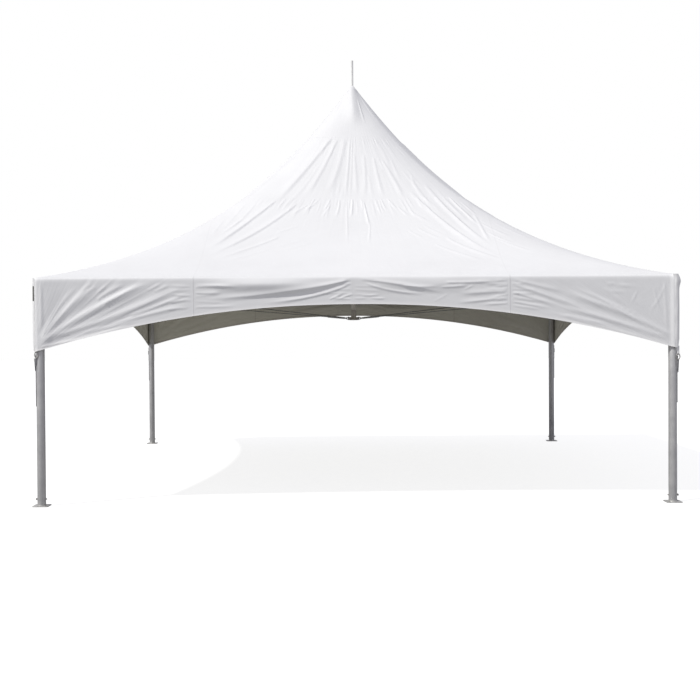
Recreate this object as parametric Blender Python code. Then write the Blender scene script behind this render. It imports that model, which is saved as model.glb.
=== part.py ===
"""Square frame tent with a high peak. A tube frame stands on four legs, a centre mast stands on
four taut cables, and a tensioned cloth top with arched valances covers them. Metres, +Z up, with
the origin on the ground under the mast and the front towards -Y."""

import math

import bmesh
import bpy
from mathutils import Matrix, Vector

# Tube frame: centre lines, heights and diameters
LEG_OFFSET = 3.010
BEAM_Z = 2.128
TUBE_RADIUS = 0.040
TUBE_SIDES = 24
FITTING_RADIUS = 0.046
FITTING_ARM = 0.150
ELBOW_BEND = 0.050
ELBOW_STEPS = 4
SOCKET_RADIUS = 0.045
SPLICE_LENGTH = 0.300
LUG_REACH = 0.115
LUG_THICKNESS = 0.010
LUG_HEIGHT = 0.040

# Feet
PLATE_SIDE = 0.150
PLATE_THICKNESS = 0.008
PLATE_CORNER = 0.012
SPIGOT_RADIUS = 0.034
SPIGOT_HEIGHT = 0.070

# Centre mast on its cables
MAST_RADIUS = 0.025
HUB_Z = 1.810
HUB_RADIUS = 0.052
HUB_THICKNESS = 0.016
HUB_SOCKET_RADIUS = 0.032
HUB_SOCKET_HEIGHT = 0.110
EAR_REACH = 0.092
EAR_THICKNESS = 0.010
EAR_HEIGHT = 0.034
CABLE_RADIUS = 0.005
CABLE_SLEEVE_RADIUS = 0.009
CABLE_SLEEVE = 0.090
SCREW_BODY_RADIUS = 0.012
SCREW_BODY = 0.320
SPIRE_RADIUS = 0.0125
SPIRE_TOP = 4.976
HEAD_RADIUS = 0.055
HEAD_DEPTH = 0.070

# Cloth top. It rests on the corner fittings, and its sides hang just outside them
GAP = 0.0003
SHEET = 0.004
ROOF_DEPTH = 0.006
ROOF_RISE = 2.515
RISE_LINEAR = 0.32
RISE_SQUARE = 0.75
SQUARENESS = 3.2
FACE_SAG = 0.050
CROWN_HALF_WIDTH = 0.590
GORE_ROWS = 10
GORE_COLUMNS = 12
CROWN_ROWS = 4
VALANCE_MIDDLE_Z = 1.904
VALANCE_CORNER_Z = 1.464
VALANCE_POWER = 2.1
VALANCE_COLUMNS = 24

# Webbing that ties each lower corner of the cloth to its leg
STRAP_WIDTH = 0.030
STRAP_THICKNESS = 0.003
STRAP_BOTTOM = 0.950
STRAP_TOP = 1.445
BUCKLE_BOTTOM = 1.340
BUCKLE_TOP = 1.395
BUCKLE_THICKNESS = 0.008

# Sizes that follow from those above
EAVE_REACH = LEG_OFFSET + FITTING_RADIUS + GAP + SHEET
EAVE_SLOPE = math.atan(ROOF_RISE * RISE_LINEAR / EAVE_REACH)
CLEAR_OF_FITTING = (FITTING_RADIUS + GAP) / math.cos(EAVE_SLOPE)
EAVE_Z = BEAM_Z + CLEAR_OF_FITTING + ROOF_DEPTH - (EAVE_REACH - LEG_OFFSET) * math.tan(EAVE_SLOPE)
CROWN_LEVEL = 1 - CROWN_HALF_WIDTH / EAVE_REACH
PEAK_LEVEL = 1 - (SPIRE_RADIUS + GAP) / EAVE_REACH

# Quarter turns about the mast that carry the front left corner, or the front side, to each other
CORNERS = ("front_left", "front_right", "back_right", "back_left")
SIDES = ("front", "right", "back", "left")


def clear_scene():
    for obj in list(bpy.data.objects):
        bpy.data.objects.remove(obj, do_unlink=True)


def material(name, colour, roughness, metallic=0.0):
    made = bpy.data.materials.new(name)
    made.use_nodes = True
    shader = made.node_tree.nodes["Principled BSDF"]
    shader.inputs["Base Color"].default_value = (*colour, 1.0)
    shader.inputs["Roughness"].default_value = roughness
    shader.inputs["Metallic"].default_value = metallic
    return made


def to_mesh(name, bm):
    bmesh.ops.recalc_face_normals(bm, faces=bm.faces[:])
    mesh = bpy.data.meshes.new(name)
    bm.to_mesh(mesh)
    bm.free()
    mesh.shade_smooth()
    mesh.set_sharp_from_angle(angle=math.radians(35))
    return mesh


def place(name, mesh, finish, location=(0, 0, 0), quarter=0):
    """Adds the mesh as an object, turned with its location by quarter turns about the mast."""
    obj = bpy.data.objects.new(name, mesh)
    obj.matrix_world = Matrix.Rotation(quarter * math.pi / 2, 4, "Z") @ Matrix.Translation(location)
    obj.data.materials.clear()
    obj.data.materials.append(finish)
    bpy.context.scene.collection.objects.link(obj)
    return obj


def turned(profile, sides=TUBE_SIDES):
    """A solid of revolution about Z, from (radius, z) points that start and end on the axis."""
    bm = bmesh.new()
    verts = [bm.verts.new((radius, 0, z)) for radius, z in profile]
    edges = [bm.edges.new(pair) for pair in zip(verts, verts[1:])]
    bmesh.ops.spin(bm, geom=verts + edges, axis=(0, 0, 1), steps=sides, angle=2 * math.pi, use_merge=True)
    bmesh.ops.remove_doubles(bm, verts=bm.verts[:], dist=1e-6)
    return bm


def rod(radius, bottom, top):
    return turned([(0, bottom), (radius, bottom), (radius, top), (0, top)])


def bar(size, centre, turn=0.0):
    """A box of the given size, turned about Z after it is moved out to its centre."""
    bm = bmesh.new()
    bmesh.ops.create_cube(bm, size=1.0)
    bmesh.ops.scale(bm, vec=size, verts=bm.verts[:])
    bmesh.ops.translate(bm, vec=centre, verts=bm.verts[:])
    bmesh.ops.rotate(bm, matrix=Matrix.Rotation(turn, 3, "Z"), verts=bm.verts[:])
    return bm


def joined(name, first, *others):
    """The union of some closed shapes, as one mesh."""
    parts = [bpy.data.objects.new(name, to_mesh(name, bm)) for bm in (first, *others)]
    for part in parts:
        bpy.context.scene.collection.objects.link(part)
    for other in parts[1:]:
        union = parts[0].modifiers.new("union", "BOOLEAN")
        union.operation = "UNION"
        union.solver = "EXACT"
        union.object = other
    graph = bpy.context.evaluated_depsgraph_get()
    mesh = bpy.data.meshes.new_from_object(parts[0].evaluated_get(graph))
    for part in parts:
        bpy.data.objects.remove(part, do_unlink=True)
    return mesh


def thicken(bm, inner):
    """Closes an open sheet with a second skin, whose points are those that inner gives."""
    extruded = bmesh.ops.extrude_face_region(bm, geom=bm.faces[:] + bm.edges[:] + bm.verts[:])
    for vert in extruded["geom"]:
        if isinstance(vert, bmesh.types.BMVert):
            vert.co = inner(vert.co)


def sheet(rows, wrap=False):
    """An open sheet of quads through rows of points. A wrapped sheet closes each row to a ring."""
    bm = bmesh.new()
    verts = [[bm.verts.new(point) for point in row] for row in rows]
    count = len(rows[0])
    for lower, upper in zip(verts, verts[1:]):
        for i in range(count if wrap else count - 1):
            j = (i + 1) % count
            bm.faces.new((lower[i], lower[j], upper[j], upper[i]))
    return bm


def roof_point(level, angle):
    """A point of the cloth's outer face. The level is 0 at the eave and 1 at the peak, and the
    angle is counted from the middle of a side, up to 45 degrees at its hips. Rings of equal level
    are square at the eave and turn into circles at the peak, and sag a little between the hips."""
    along, across = abs(math.cos(angle)), abs(math.sin(angle))
    ratio = min(along, across) / max(along, across)
    radius = EAVE_REACH * (1 - level) / max(along, across)
    if level > 0:
        power = 2 + SQUARENESS * (1 - level) / level
        radius /= (1 + ratio ** power) ** (1 / power)
    rise_cubic = 1 - RISE_LINEAR - RISE_SQUARE
    rise = RISE_LINEAR * level + RISE_SQUARE * level ** 2 + rise_cubic * level ** 3
    sag = FACE_SAG * math.sin(math.pi * level) ** 2 * (1 - ratio ** 2)
    z = EAVE_Z + ROOF_RISE * rise - sag
    return Vector((radius * math.sin(angle), -radius * math.cos(angle), z))


def lowered(point):
    return point - Vector((0, 0, ROOF_DEPTH))


def gore():
    """The cloth over the front side, from the eave up to the crown, cut clear of its hips."""
    rows = []
    for i in range(GORE_ROWS + 1):
        level = CROWN_LEVEL * i / GORE_ROWS
        row = []
        for j in range(GORE_COLUMNS + 1):
            point = roof_point(level, math.radians(90 * j / GORE_COLUMNS - 45))
            limit = -point.y - 0.7 * GAP
            point.x = max(-limit, min(limit, point.x))
            row.append(point)
        rows.append(row)
    bm = sheet(rows)
    thicken(bm, lowered)
    return bm


def crown():
    """The cloth round the mast head, down to the gores, with a hole for the spire."""
    start = CROWN_LEVEL + GAP / EAVE_REACH
    rows = []
    for i in range(CROWN_ROWS + 1):
        level = start + (PEAK_LEVEL - start) * i / CROWN_ROWS
        rows.append([
            roof_point(level, math.radians(90 * j / GORE_COLUMNS - 45))
            for j in range(4 * GORE_COLUMNS)
        ])
    bm = sheet(rows, wrap=True)
    thicken(bm, lowered)
    return bm


def valance():
    """The upright front side, with an arched lower edge and ends mitred to meet its neighbours."""
    end = EAVE_REACH - GAP
    top = EAVE_Z - ROOF_DEPTH - GAP
    upper, lower = [], []
    for i in range(VALANCE_COLUMNS + 1):
        x = end * (2 * i / VALANCE_COLUMNS - 1)
        drop = (VALANCE_MIDDLE_Z - VALANCE_CORNER_Z) * abs(x / end) ** VALANCE_POWER
        upper.append((x, -EAVE_REACH, top))
        lower.append((x, -EAVE_REACH, VALANCE_MIDDLE_Z - drop))
    bm = sheet([lower, upper])
    narrower = (end - SHEET) / end
    thicken(bm, lambda point: Vector((point.x * narrower, point.y + SHEET, point.z)))
    return bm


def corner_elbow():
    """A bent tube between two arms along +X and +Y, whose centre lines cross at the origin."""
    sections = [((FITTING_ARM, 0), (0, 1))]
    for i in range(ELBOW_STEPS + 1):
        turn = math.pi / 2 * i / ELBOW_STEPS
        out = (-math.sin(turn), -math.cos(turn))
        bend = (ELBOW_BEND + ELBOW_BEND * out[0], ELBOW_BEND + ELBOW_BEND * out[1])
        sections.append((bend, (-out[0], -out[1])))
    sections.append(((0, FITTING_ARM), (1, 0)))
    bm = bmesh.new()
    rings = []
    for centre, inward in sections:
        ring = []
        for i in range(TUBE_SIDES):
            angle = 2 * math.pi * i / TUBE_SIDES
            across = FITTING_RADIUS * math.cos(angle)
            up = FITTING_RADIUS * math.sin(angle)
            place_across = (centre[0] + across * inward[0], centre[1] + across * inward[1])
            ring.append(bm.verts.new((*place_across, up)))
        rings.append(ring)
    for near, far in zip(rings, rings[1:]):
        for i in range(TUBE_SIDES):
            j = (i + 1) % TUBE_SIDES
            bm.faces.new((near[i], near[j], far[j], far[i]))
    bm.faces.new(rings[0])
    bm.faces.new(rings[-1])
    return bm


def corner_fitting():
    """The elbow, the leg's socket under it, and the lug that holds the cable."""
    socket = rod(SOCKET_RADIUS, -FITTING_ARM, 0.010)
    lug_centre = (LUG_REACH / 2, 0, -LUG_HEIGHT / 2)
    lug = bar((LUG_REACH, LUG_THICKNESS, LUG_HEIGHT), lug_centre, math.radians(45))
    return joined("corner_fitting", corner_elbow(), socket, lug)


def leg():
    """A leg, with the blind bore in its foot that stands over the spigot of its plate."""
    bottom = PLATE_THICKNESS + GAP
    top = BEAM_Z - FITTING_ARM - GAP
    bore_radius = SPIGOT_RADIUS + GAP
    bore_top = PLATE_THICKNESS + SPIGOT_HEIGHT + GAP
    return turned([
        (0, top), (TUBE_RADIUS, top), (TUBE_RADIUS, bottom),
        (bore_radius, bottom), (bore_radius, bore_top), (0, bore_top),
    ])


def base_plate():
    """A square plate with clipped corners, and the spigot that the leg stands over."""
    plate = bar((PLATE_SIDE, PLATE_SIDE, PLATE_THICKNESS), (0, 0, PLATE_THICKNESS / 2))
    upright = [edge for edge in plate.edges if abs(edge.verts[0].co.z - edge.verts[1].co.z) > GAP]
    bmesh.ops.bevel(plate, geom=upright, offset=PLATE_CORNER, segments=3, profile=0.5, affect="EDGES")
    spigot = rod(SPIGOT_RADIUS, PLATE_THICKNESS / 2, PLATE_THICKNESS + SPIGOT_HEIGHT)
    return joined("base_plate", plate, spigot)


def mast_base():
    """The hub that hangs in the four cables, with an ear for each and a socket for the mast."""
    floor = HUB_Z + HUB_THICKNESS
    top = floor + HUB_SOCKET_HEIGHT
    body = turned([
        (0, HUB_Z), (HUB_RADIUS, HUB_Z), (HUB_RADIUS, floor), (HUB_SOCKET_RADIUS, floor),
        (HUB_SOCKET_RADIUS, top), (MAST_RADIUS + GAP, top), (MAST_RADIUS + GAP, floor), (0, floor),
    ])
    root = HUB_SOCKET_RADIUS - GAP
    length = EAR_REACH - root
    ears = [
        bar(
            (length, EAR_THICKNESS, EAR_HEIGHT),
            (root + length / 2, 0, HUB_Z + HUB_THICKNESS / 4 + EAR_HEIGHT / 2),
            math.radians(45 + 90 * i),
        )
        for i in range(4)
    ]
    return joined("mast_base", body, *ears)


def mast_spire():
    """The cone that carries the peak of the cloth, with the rod that stands out above it."""
    head = lowered(roof_point(1 - HEAD_RADIUS / EAVE_REACH, 0)).z - 3 * GAP
    neck = lowered(roof_point(PEAK_LEVEL, 0)).z - 3 * GAP
    return turned([
        (0, head - HEAD_DEPTH), (HEAD_RADIUS, head - HEAD_DEPTH), (HEAD_RADIUS, head),
        (SPIRE_RADIUS, neck), (SPIRE_RADIUS, SPIRE_TOP - 0.4 * SPIRE_RADIUS),
        (0.6 * SPIRE_RADIUS, SPIRE_TOP), (0, SPIRE_TOP),
    ])


def stay_cable(length):
    """A cable along +Z from its corner to the hub, with a pressed sleeve and a tightening screw."""
    screw = length - SCREW_BODY
    return turned([
        (0, 0), (CABLE_SLEEVE_RADIUS, 0), (CABLE_SLEEVE_RADIUS, CABLE_SLEEVE),
        (CABLE_RADIUS, CABLE_SLEEVE + CABLE_RADIUS), (CABLE_RADIUS, screw - CABLE_RADIUS),
        (SCREW_BODY_RADIUS, screw), (SCREW_BODY_RADIUS, length), (0, length),
    ], sides=12)


def corner_strap():
    """Webbing flat against the +X side of a leg at the origin, with its buckle."""
    near = TUBE_RADIUS + GAP
    far = near + STRAP_THICKNESS
    buckle = near + BUCKLE_THICKNESS
    outline = (
        (near, STRAP_BOTTOM), (far, STRAP_BOTTOM), (far, BUCKLE_BOTTOM), (buckle, BUCKLE_BOTTOM),
        (buckle, BUCKLE_TOP), (far, BUCKLE_TOP), (far, STRAP_TOP), (near, STRAP_TOP),
    )
    bm = bmesh.new()
    bm.faces.new([bm.verts.new((x, -STRAP_WIDTH / 2, z)) for x, z in outline])
    thicken(bm, lambda point: point + Vector((0, STRAP_WIDTH, 0)))
    return bm


def build_frame():
    steel = material("galvanised_tube", (0.42, 0.42, 0.43), 0.42, 0.85)
    cast = material("fitting_steel", (0.30, 0.30, 0.31), 0.50, 0.80)
    plate = material("foot_plate", (0.55, 0.55, 0.54), 0.55, 0.60)
    corner = (-LEG_OFFSET, -LEG_OFFSET)
    leg_mesh = to_mesh("leg", leg())
    plate_mesh = base_plate()
    fitting_mesh = corner_fitting()
    for quarter, name in enumerate(CORNERS):
        place("leg_" + name, leg_mesh, steel, (*corner, 0), quarter)
        place("base_plate_" + name, plate_mesh, plate, (*corner, 0), quarter)
        place("corner_fitting_" + name, fitting_mesh, cast, (*corner, BEAM_Z), quarter)

    beam_start = SPLICE_LENGTH / 2 + GAP
    beam_end = LEG_OFFSET - FITTING_ARM - GAP
    beam_mesh = to_mesh("eave_beam", rod(TUBE_RADIUS, beam_start, beam_end))
    splice_mesh = to_mesh("eave_splice", rod(FITTING_RADIUS, -SPLICE_LENGTH / 2, SPLICE_LENGTH / 2))
    for mesh in (beam_mesh, splice_mesh):
        mesh.transform(Matrix.Rotation(math.pi / 2, 4, "Y"))
    other_way = beam_mesh.copy()
    other_way.transform(Matrix.Rotation(math.pi, 4, "Z"))
    for quarter, side in enumerate(SIDES):
        before, after = SIDES[quarter - 1], SIDES[(quarter + 1) % 4]
        middle = (0, -LEG_OFFSET, BEAM_Z)
        place(f"eave_beam_{side}_{before}", other_way, steel, middle, quarter)
        place(f"eave_beam_{side}_{after}", beam_mesh, steel, middle, quarter)
        place("eave_splice_" + side, splice_mesh, cast, middle, quarter)


def build_mast():
    steel = material("mast_tube", (0.40, 0.40, 0.41), 0.45, 0.85)
    hub = material("hub_steel", (0.20, 0.20, 0.21), 0.50, 0.70)
    wire = material("wire_cable", (0.34, 0.34, 0.34), 0.45, 0.80)
    spire = material("spire_white", (0.75, 0.75, 0.74), 0.40)
    place("mast_base", mast_base(), hub)
    spire_object = place("mast_spire", to_mesh("mast_spire", mast_spire()), spire)
    mast_top = min(vert.co.z for vert in spire_object.data.vertices) - GAP
    mast_bottom = HUB_Z + HUB_THICKNESS + GAP
    place("centre_mast", to_mesh("centre_mast", rod(MAST_RADIUS, mast_bottom, mast_top)), steel)

    lug_end = LUG_REACH / math.sqrt(2)
    ear_end = EAR_REACH / math.sqrt(2)
    start = Vector((lug_end - LEG_OFFSET, lug_end - LEG_OFFSET, BEAM_Z - LUG_HEIGHT / 2))
    end = Vector((-ear_end, -ear_end, HUB_Z + HUB_THICKNESS / 4 + EAR_HEIGHT / 2))
    along = (end - start).normalized()
    tilt = abs(along.z)
    start += along * (GAP + CABLE_SLEEVE_RADIUS * tilt)
    end -= along * (GAP + SCREW_BODY_RADIUS * tilt)
    cable = stay_cable((end - start).length)
    bmesh.ops.rotate(cable, matrix=along.to_track_quat("Z", "Y").to_matrix(), verts=cable.verts[:])
    cable_mesh = to_mesh("stay_cable", cable)
    for quarter, name in enumerate(CORNERS):
        place("stay_cable_" + name, cable_mesh, wire, start, quarter)


def build_cloth():
    cloth = material("tent_cloth", (0.86, 0.86, 0.86), 0.35)
    webbing = material("strap_webbing", (0.16, 0.16, 0.17), 0.80)
    place("canopy_crown", to_mesh("canopy_crown", crown()), cloth)
    gore_mesh = to_mesh("roof", gore())
    valance_mesh = to_mesh("valance", valance())
    for quarter, side in enumerate(SIDES):
        place("roof_" + side, gore_mesh, cloth, quarter=quarter)
        place("valance_" + side, valance_mesh, cloth, quarter=quarter)

    right_strap = to_mesh("corner_strap", corner_strap())
    left_strap = right_strap.copy()
    left_strap.transform(Matrix.Rotation(math.pi, 4, "Z"))
    for name in CORNERS:
        x = LEG_OFFSET if name.endswith("right") else -LEG_OFFSET
        y = LEG_OFFSET if name.startswith("back") else -LEG_OFFSET
        place("corner_strap_" + name, right_strap if x > 0 else left_strap, webbing, (x, y, 0))


clear_scene()
build_frame()
build_mast()
build_cloth()
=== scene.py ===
import math
import random

import bmesh
import bpy
import numpy as np
from mathutils import Matrix, Vector


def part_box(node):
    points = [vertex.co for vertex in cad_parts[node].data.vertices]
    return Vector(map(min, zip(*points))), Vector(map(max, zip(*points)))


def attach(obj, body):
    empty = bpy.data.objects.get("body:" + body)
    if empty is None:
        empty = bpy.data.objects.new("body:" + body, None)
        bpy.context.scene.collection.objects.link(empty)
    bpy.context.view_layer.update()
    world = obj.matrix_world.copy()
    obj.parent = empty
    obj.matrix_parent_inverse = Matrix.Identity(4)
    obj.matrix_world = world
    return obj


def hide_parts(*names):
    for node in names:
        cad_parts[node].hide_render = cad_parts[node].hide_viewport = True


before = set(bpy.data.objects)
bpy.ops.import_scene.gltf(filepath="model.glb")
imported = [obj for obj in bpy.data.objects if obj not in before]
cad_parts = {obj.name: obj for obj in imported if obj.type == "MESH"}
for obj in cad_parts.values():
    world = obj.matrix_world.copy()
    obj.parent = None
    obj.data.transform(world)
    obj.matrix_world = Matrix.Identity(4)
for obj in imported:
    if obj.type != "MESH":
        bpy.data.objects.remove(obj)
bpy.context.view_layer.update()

# Legs: round aluminium tube, drawn and left bare. Each one stands over the spigot of its plate and
# is pinned there, with a second pin where it enters its corner fitting.
CORNERS = {"front_left": (-1, -1), "front_right": (1, -1), "back_right": (1, 1), "back_left": (-1, 1)}
LEG_RADIUS = 0.040
TUBE_SIDES = 48
TUBE_EDGE, EDGE_CUT = 0.0015, 0.29
LEG_PIN_RADIUS = 0.006
LEG_PIN_HEIGHT = 0.068
LEG_PIN_ABOVE = 0.060
PIN_PAST_TUBE = 0.008
PIN_HEAD, PIN_WASHER, PIN_RING = 1.7, 2.1, 1.6
PIN_RING_WIRE, PIN_RING_INSET = 0.0013, 0.004


def shader_of(name):
    """A new material, with its node tree and its Principled shader."""
    made = bpy.data.materials.new(name)
    made.use_nodes = True
    return made, made.node_tree, made.node_tree.nodes["Principled BSDF"]


def set_inputs(tree, node, inputs):
    """Gives each named input of a node its link or its value."""
    for name, value in inputs.items():
        if isinstance(value, bpy.types.NodeSocket):
            tree.links.new(value, node.inputs[name])
        else:
            node.inputs[name].default_value = value


def add_node(tree, kind, inputs=None, **settings):
    """Adds a node, with its settings and its inputs."""
    node = tree.nodes.new(kind)
    for name, value in settings.items():
        setattr(node, name, value)
    set_inputs(tree, node, inputs or {})
    return node


def math_node(tree, operation, *inputs):
    """One sum, as the socket with its result."""
    return add_node(tree, "ShaderNodeMath", dict(enumerate(inputs)), operation=operation).outputs[0]


def ranged(tree, value, start, stop, first=0.0, last=1.0):
    """A value carried from one range to another, and held at its ends."""
    return add_node(tree, "ShaderNodeMapRange", {
        "Value": value, "From Min": start, "From Max": stop, "To Min": first, "To Max": last,
    }).outputs[0]


def mixed(tree, factor, first, second):
    """Two colours mixed by a factor."""
    first, second = ((*tone, 1) if isinstance(tone, tuple) else tone for tone in (first, second))
    return add_node(tree, "ShaderNodeMix", {0: factor, 6: first, 7: second}, data_type="RGBA").outputs[2]


def noise(tree, place, scale, **inputs):
    """A cloudy pattern, as the socket with its value."""
    return add_node(tree, "ShaderNodeTexNoise", {"Vector": place, "Scale": scale, **inputs}).outputs["Fac"]


def surface(tree, shader, colour, rough, height, strength, depth):
    """Gives a shader its colour, its roughness and its relief."""
    relief = add_node(tree, "ShaderNodeBump", {"Height": height, "Strength": strength, "Distance": depth})
    set_inputs(tree, shader, {
        "Base Color": colour, "Roughness": rough, "Normal": relief.outputs["Normal"],
    })


def metal_wear_group():
    """Cloudy tone, fine drawn lines and small scuffs, for bare and plated metal."""
    tree = bpy.data.node_groups.new("metal_wear", "ShaderNodeTree")
    for name, kind, start in (
        ("Light", "NodeSocketColor", (0.6, 0.6, 0.6, 1)),
        ("Dark", "NodeSocketColor", (0.4, 0.4, 0.4, 1)),
        ("Cloud Scale", "NodeSocketFloat", 9.0),
        ("Line Stretch", "NodeSocketVector", (90.0, 90.0, 4.0)),
    ):
        socket = tree.interface.new_socket(name, in_out="INPUT", socket_type=kind)
        socket.default_value = start
    for name, kind in (
        ("Color", "NodeSocketColor"), ("Roughness", "NodeSocketFloat"), ("Height", "NodeSocketFloat"),
    ):
        tree.interface.new_socket(name, in_out="OUTPUT", socket_type=kind)
    given = tree.nodes.new("NodeGroupInput").outputs
    place = tree.nodes.new("ShaderNodeTexCoord").outputs["Object"]
    cloud = noise(tree, place, given["Cloud Scale"], Detail=5.0, Roughness=0.6)
    stretched = add_node(
        tree, "ShaderNodeVectorMath", {0: place, 1: given["Line Stretch"]}, operation="MULTIPLY",
    )
    lines = noise(tree, stretched.outputs[0], 4.0, Detail=3.0)
    scuff = add_node(tree, "ShaderNodeTexVoronoi", {"Vector": place, "Scale": 60.0}, feature="F1")
    scuffed = ranged(tree, scuff.outputs["Distance"], 0.05, 0.20, 1.0, 0.0)
    tone = ranged(tree, math_node(tree, "ADD", cloud, lines), 0.75, 1.25)
    set_inputs(tree, tree.nodes.new("NodeGroupOutput"), {
        "Color": mixed(tree, tone, given["Dark"], given["Light"]),
        "Roughness": ranged(tree, cloud, 0.3, 0.7, 0.32, 0.55),
        "Height": math_node(tree, "MULTIPLY_ADD", scuffed, -0.4, lines),
    })
    return tree


METAL_WEAR = metal_wear_group()


def metal(name, light, dark, metallic=0.9, cloud=9.0, stretch=(90.0, 90.0, 4.0)):
    """A worn metal of two tones, with the scale of its clouds and the stretch of its drawn lines."""
    made, tree, shader = shader_of(name)
    worn = tree.nodes.new("ShaderNodeGroup")
    worn.node_tree = METAL_WEAR
    set_inputs(tree, worn, {
        "Light": (*light, 1), "Dark": (*dark, 1), "Cloud Scale": cloud, "Line Stretch": stretch,
    })
    surface(tree, shader, *(worn.outputs[key] for key in ("Color", "Roughness", "Height")), 0.5, 0.0004)
    shader.inputs["Metallic"].default_value = metallic
    return made


TUBE_METAL = metal("bare_tube", (0.68, 0.68, 0.675), (0.54, 0.54, 0.545), metallic=0.45)
PIN_METAL = metal("zinc_pin", (0.62, 0.61, 0.58), (0.40, 0.39, 0.37), cloud=40.0, stretch=(60.0, 60.0, 60.0))


def finished(name, bm, finish, replaces=()):
    """Makes the piece from its mesh, gives it its finish, and lets it ride on the tent."""
    bmesh.ops.remove_doubles(bm, verts=bm.verts[:], dist=1e-6)
    bmesh.ops.recalc_face_normals(bm, faces=bm.faces[:])
    mesh = bpy.data.meshes.new(name)
    bm.to_mesh(mesh)
    bm.free()
    mesh.shade_smooth()
    mesh.set_sharp_from_angle(angle=math.radians(38))
    mesh.materials.append(finish)
    piece = bpy.data.objects.new(name, mesh)
    bpy.context.scene.collection.objects.link(piece)
    if replaces:
        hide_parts(*replaces)
    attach(piece, "root")
    return piece


def add_spun(bm, outline, steps, matrix):
    """Spins an outline once round Z, and puts the shape where the matrix says."""
    before = set(bm.verts) - set(outline)
    edges = list({edge for vert in outline for edge in vert.link_edges})
    bmesh.ops.spin(
        bm, geom=outline + edges, axis=(0, 0, 1), cent=(0, 0, 0), steps=steps, angle=math.tau,
        use_merge=True,
    )
    bmesh.ops.transform(bm, matrix=matrix, verts=[vert for vert in bm.verts if vert not in before])


def add_turned(bm, profile, sides=TUBE_SIDES, matrix=Matrix.Identity(4)):
    """A turned shape, from a profile of (radius, height) points."""
    outline = [bm.verts.new((radius, 0, height)) for radius, height in profile]
    for pair in zip(outline, outline[1:]):
        bm.edges.new(pair)
    add_spun(bm, outline, sides, matrix)


def rounded_rod(radius, bottom, top, edge=0.002):
    """The profile of a solid rod with small rounded edges."""
    corner = [(EDGE_CUT * edge, EDGE_CUT * edge), (0, edge)]
    return (
        [(0, bottom), (radius - edge, bottom)]
        + [(radius - inset, bottom + rise) for inset, rise in corner]
        + [(radius - inset, top - rise) for inset, rise in reversed(corner)]
        + [(radius - edge, top), (0, top)]
    )


def pointing(axis, centre):
    """The matrix that carries +Z to an axis and the origin to a centre."""
    return Matrix.Translation(centre) @ Vector(axis).to_track_quat("Z", "Y").to_matrix().to_4x4()


def add_pin(bm, centre, axis, reach, radius=LEG_PIN_RADIUS):
    """A headed pin through a tube, with a washer under its head and a split ring in its far end."""
    matrix = pointing(axis, centre)
    add_turned(bm, rounded_rod(radius, -reach, reach, 0.001), 16, matrix)
    add_turned(bm, rounded_rod(PIN_HEAD * radius, reach, reach + radius, 0.001), 16, matrix)
    add_turned(bm, rounded_rod(PIN_WASHER * radius, reach - 0.3 * radius, reach, 0.0005), 20, matrix)
    ring = pointing(Vector(axis).orthogonal(), matrix @ Vector((0, 0, PIN_RING_INSET - reach)))
    add_ring(bm, PIN_RING * radius, PIN_RING_WIRE, 16, 6, ring)


def add_ring(bm, radius, wire, steps, sides, matrix):
    """A round wire ring about Z, put where the matrix says."""
    circle = bmesh.ops.create_circle(bm, segments=sides, radius=wire)["verts"]
    bmesh.ops.rotate(bm, verts=circle, cent=(0, 0, 0), matrix=Matrix.Rotation(math.pi / 2, 3, "X"))
    bmesh.ops.translate(bm, verts=circle, vec=(radius, 0, 0))
    add_spun(bm, circle, steps, matrix)


for name, (x_side, y_side) in CORNERS.items():
    low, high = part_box("leg_" + name)
    centre = (Vector(low) + Vector(high)) / 2
    bm = bmesh.new()
    leg_at = Matrix.Translation((centre.x, centre.y, 0))
    add_turned(bm, rounded_rod(LEG_RADIUS, low[2], high[2], TUBE_EDGE), matrix=leg_at)
    finished("leg_tube_" + name, bm, TUBE_METAL, ["leg_" + name])
    bm = bmesh.new()
    for height in (LEG_PIN_HEIGHT, high[2] + LEG_PIN_ABOVE):
        add_pin(bm, (centre.x, centre.y, height), (x_side, 0, 0), LEG_RADIUS + PIN_PAST_TUBE)
    finished("leg_pins_" + name, bm, PIN_METAL)

# Base plates: galvanised steel, cut square with rounded corners and drilled for two ground stakes,
# with a weld bead round the foot of the spigot.
PLATE_METAL = metal("plate_steel", (0.66, 0.66, 0.64), (0.48, 0.47, 0.45), 0.5, 22.0, (20.0, 20.0, 20.0))
STAKE_HOLE_RADIUS = 0.010
STAKE_HOLE_INSET = 0.022
DRILL_DEPTH = 0.2
PLATE_EDGE = 0.0012
WELD_RADIUS = 0.004
FOOT_WELD_Z = 0.010


def tidy_copy(node):
    """A merged copy of a CAD node, with its flat faces whole again."""
    bm = bmesh.new()
    bm.from_mesh(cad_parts[node].data)
    bmesh.ops.remove_doubles(bm, verts=bm.verts[:], dist=1e-5)
    bmesh.ops.dissolve_limit(bm, angle_limit=math.radians(1), verts=bm.verts[:], edges=bm.edges[:])
    return bm


def soften(bm, width):
    """Rounds the sharp edges of a mesh."""
    sharp = [
        edge for edge in bm.edges
        if len(edge.link_faces) == 2 and edge.calc_face_angle() > math.radians(40)
    ]
    bmesh.ops.bevel(
        bm, geom=sharp, offset=width, affect="EDGES", segments=2, profile=0.5, material=-1,
        clamp_overlap=True,
    )


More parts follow.
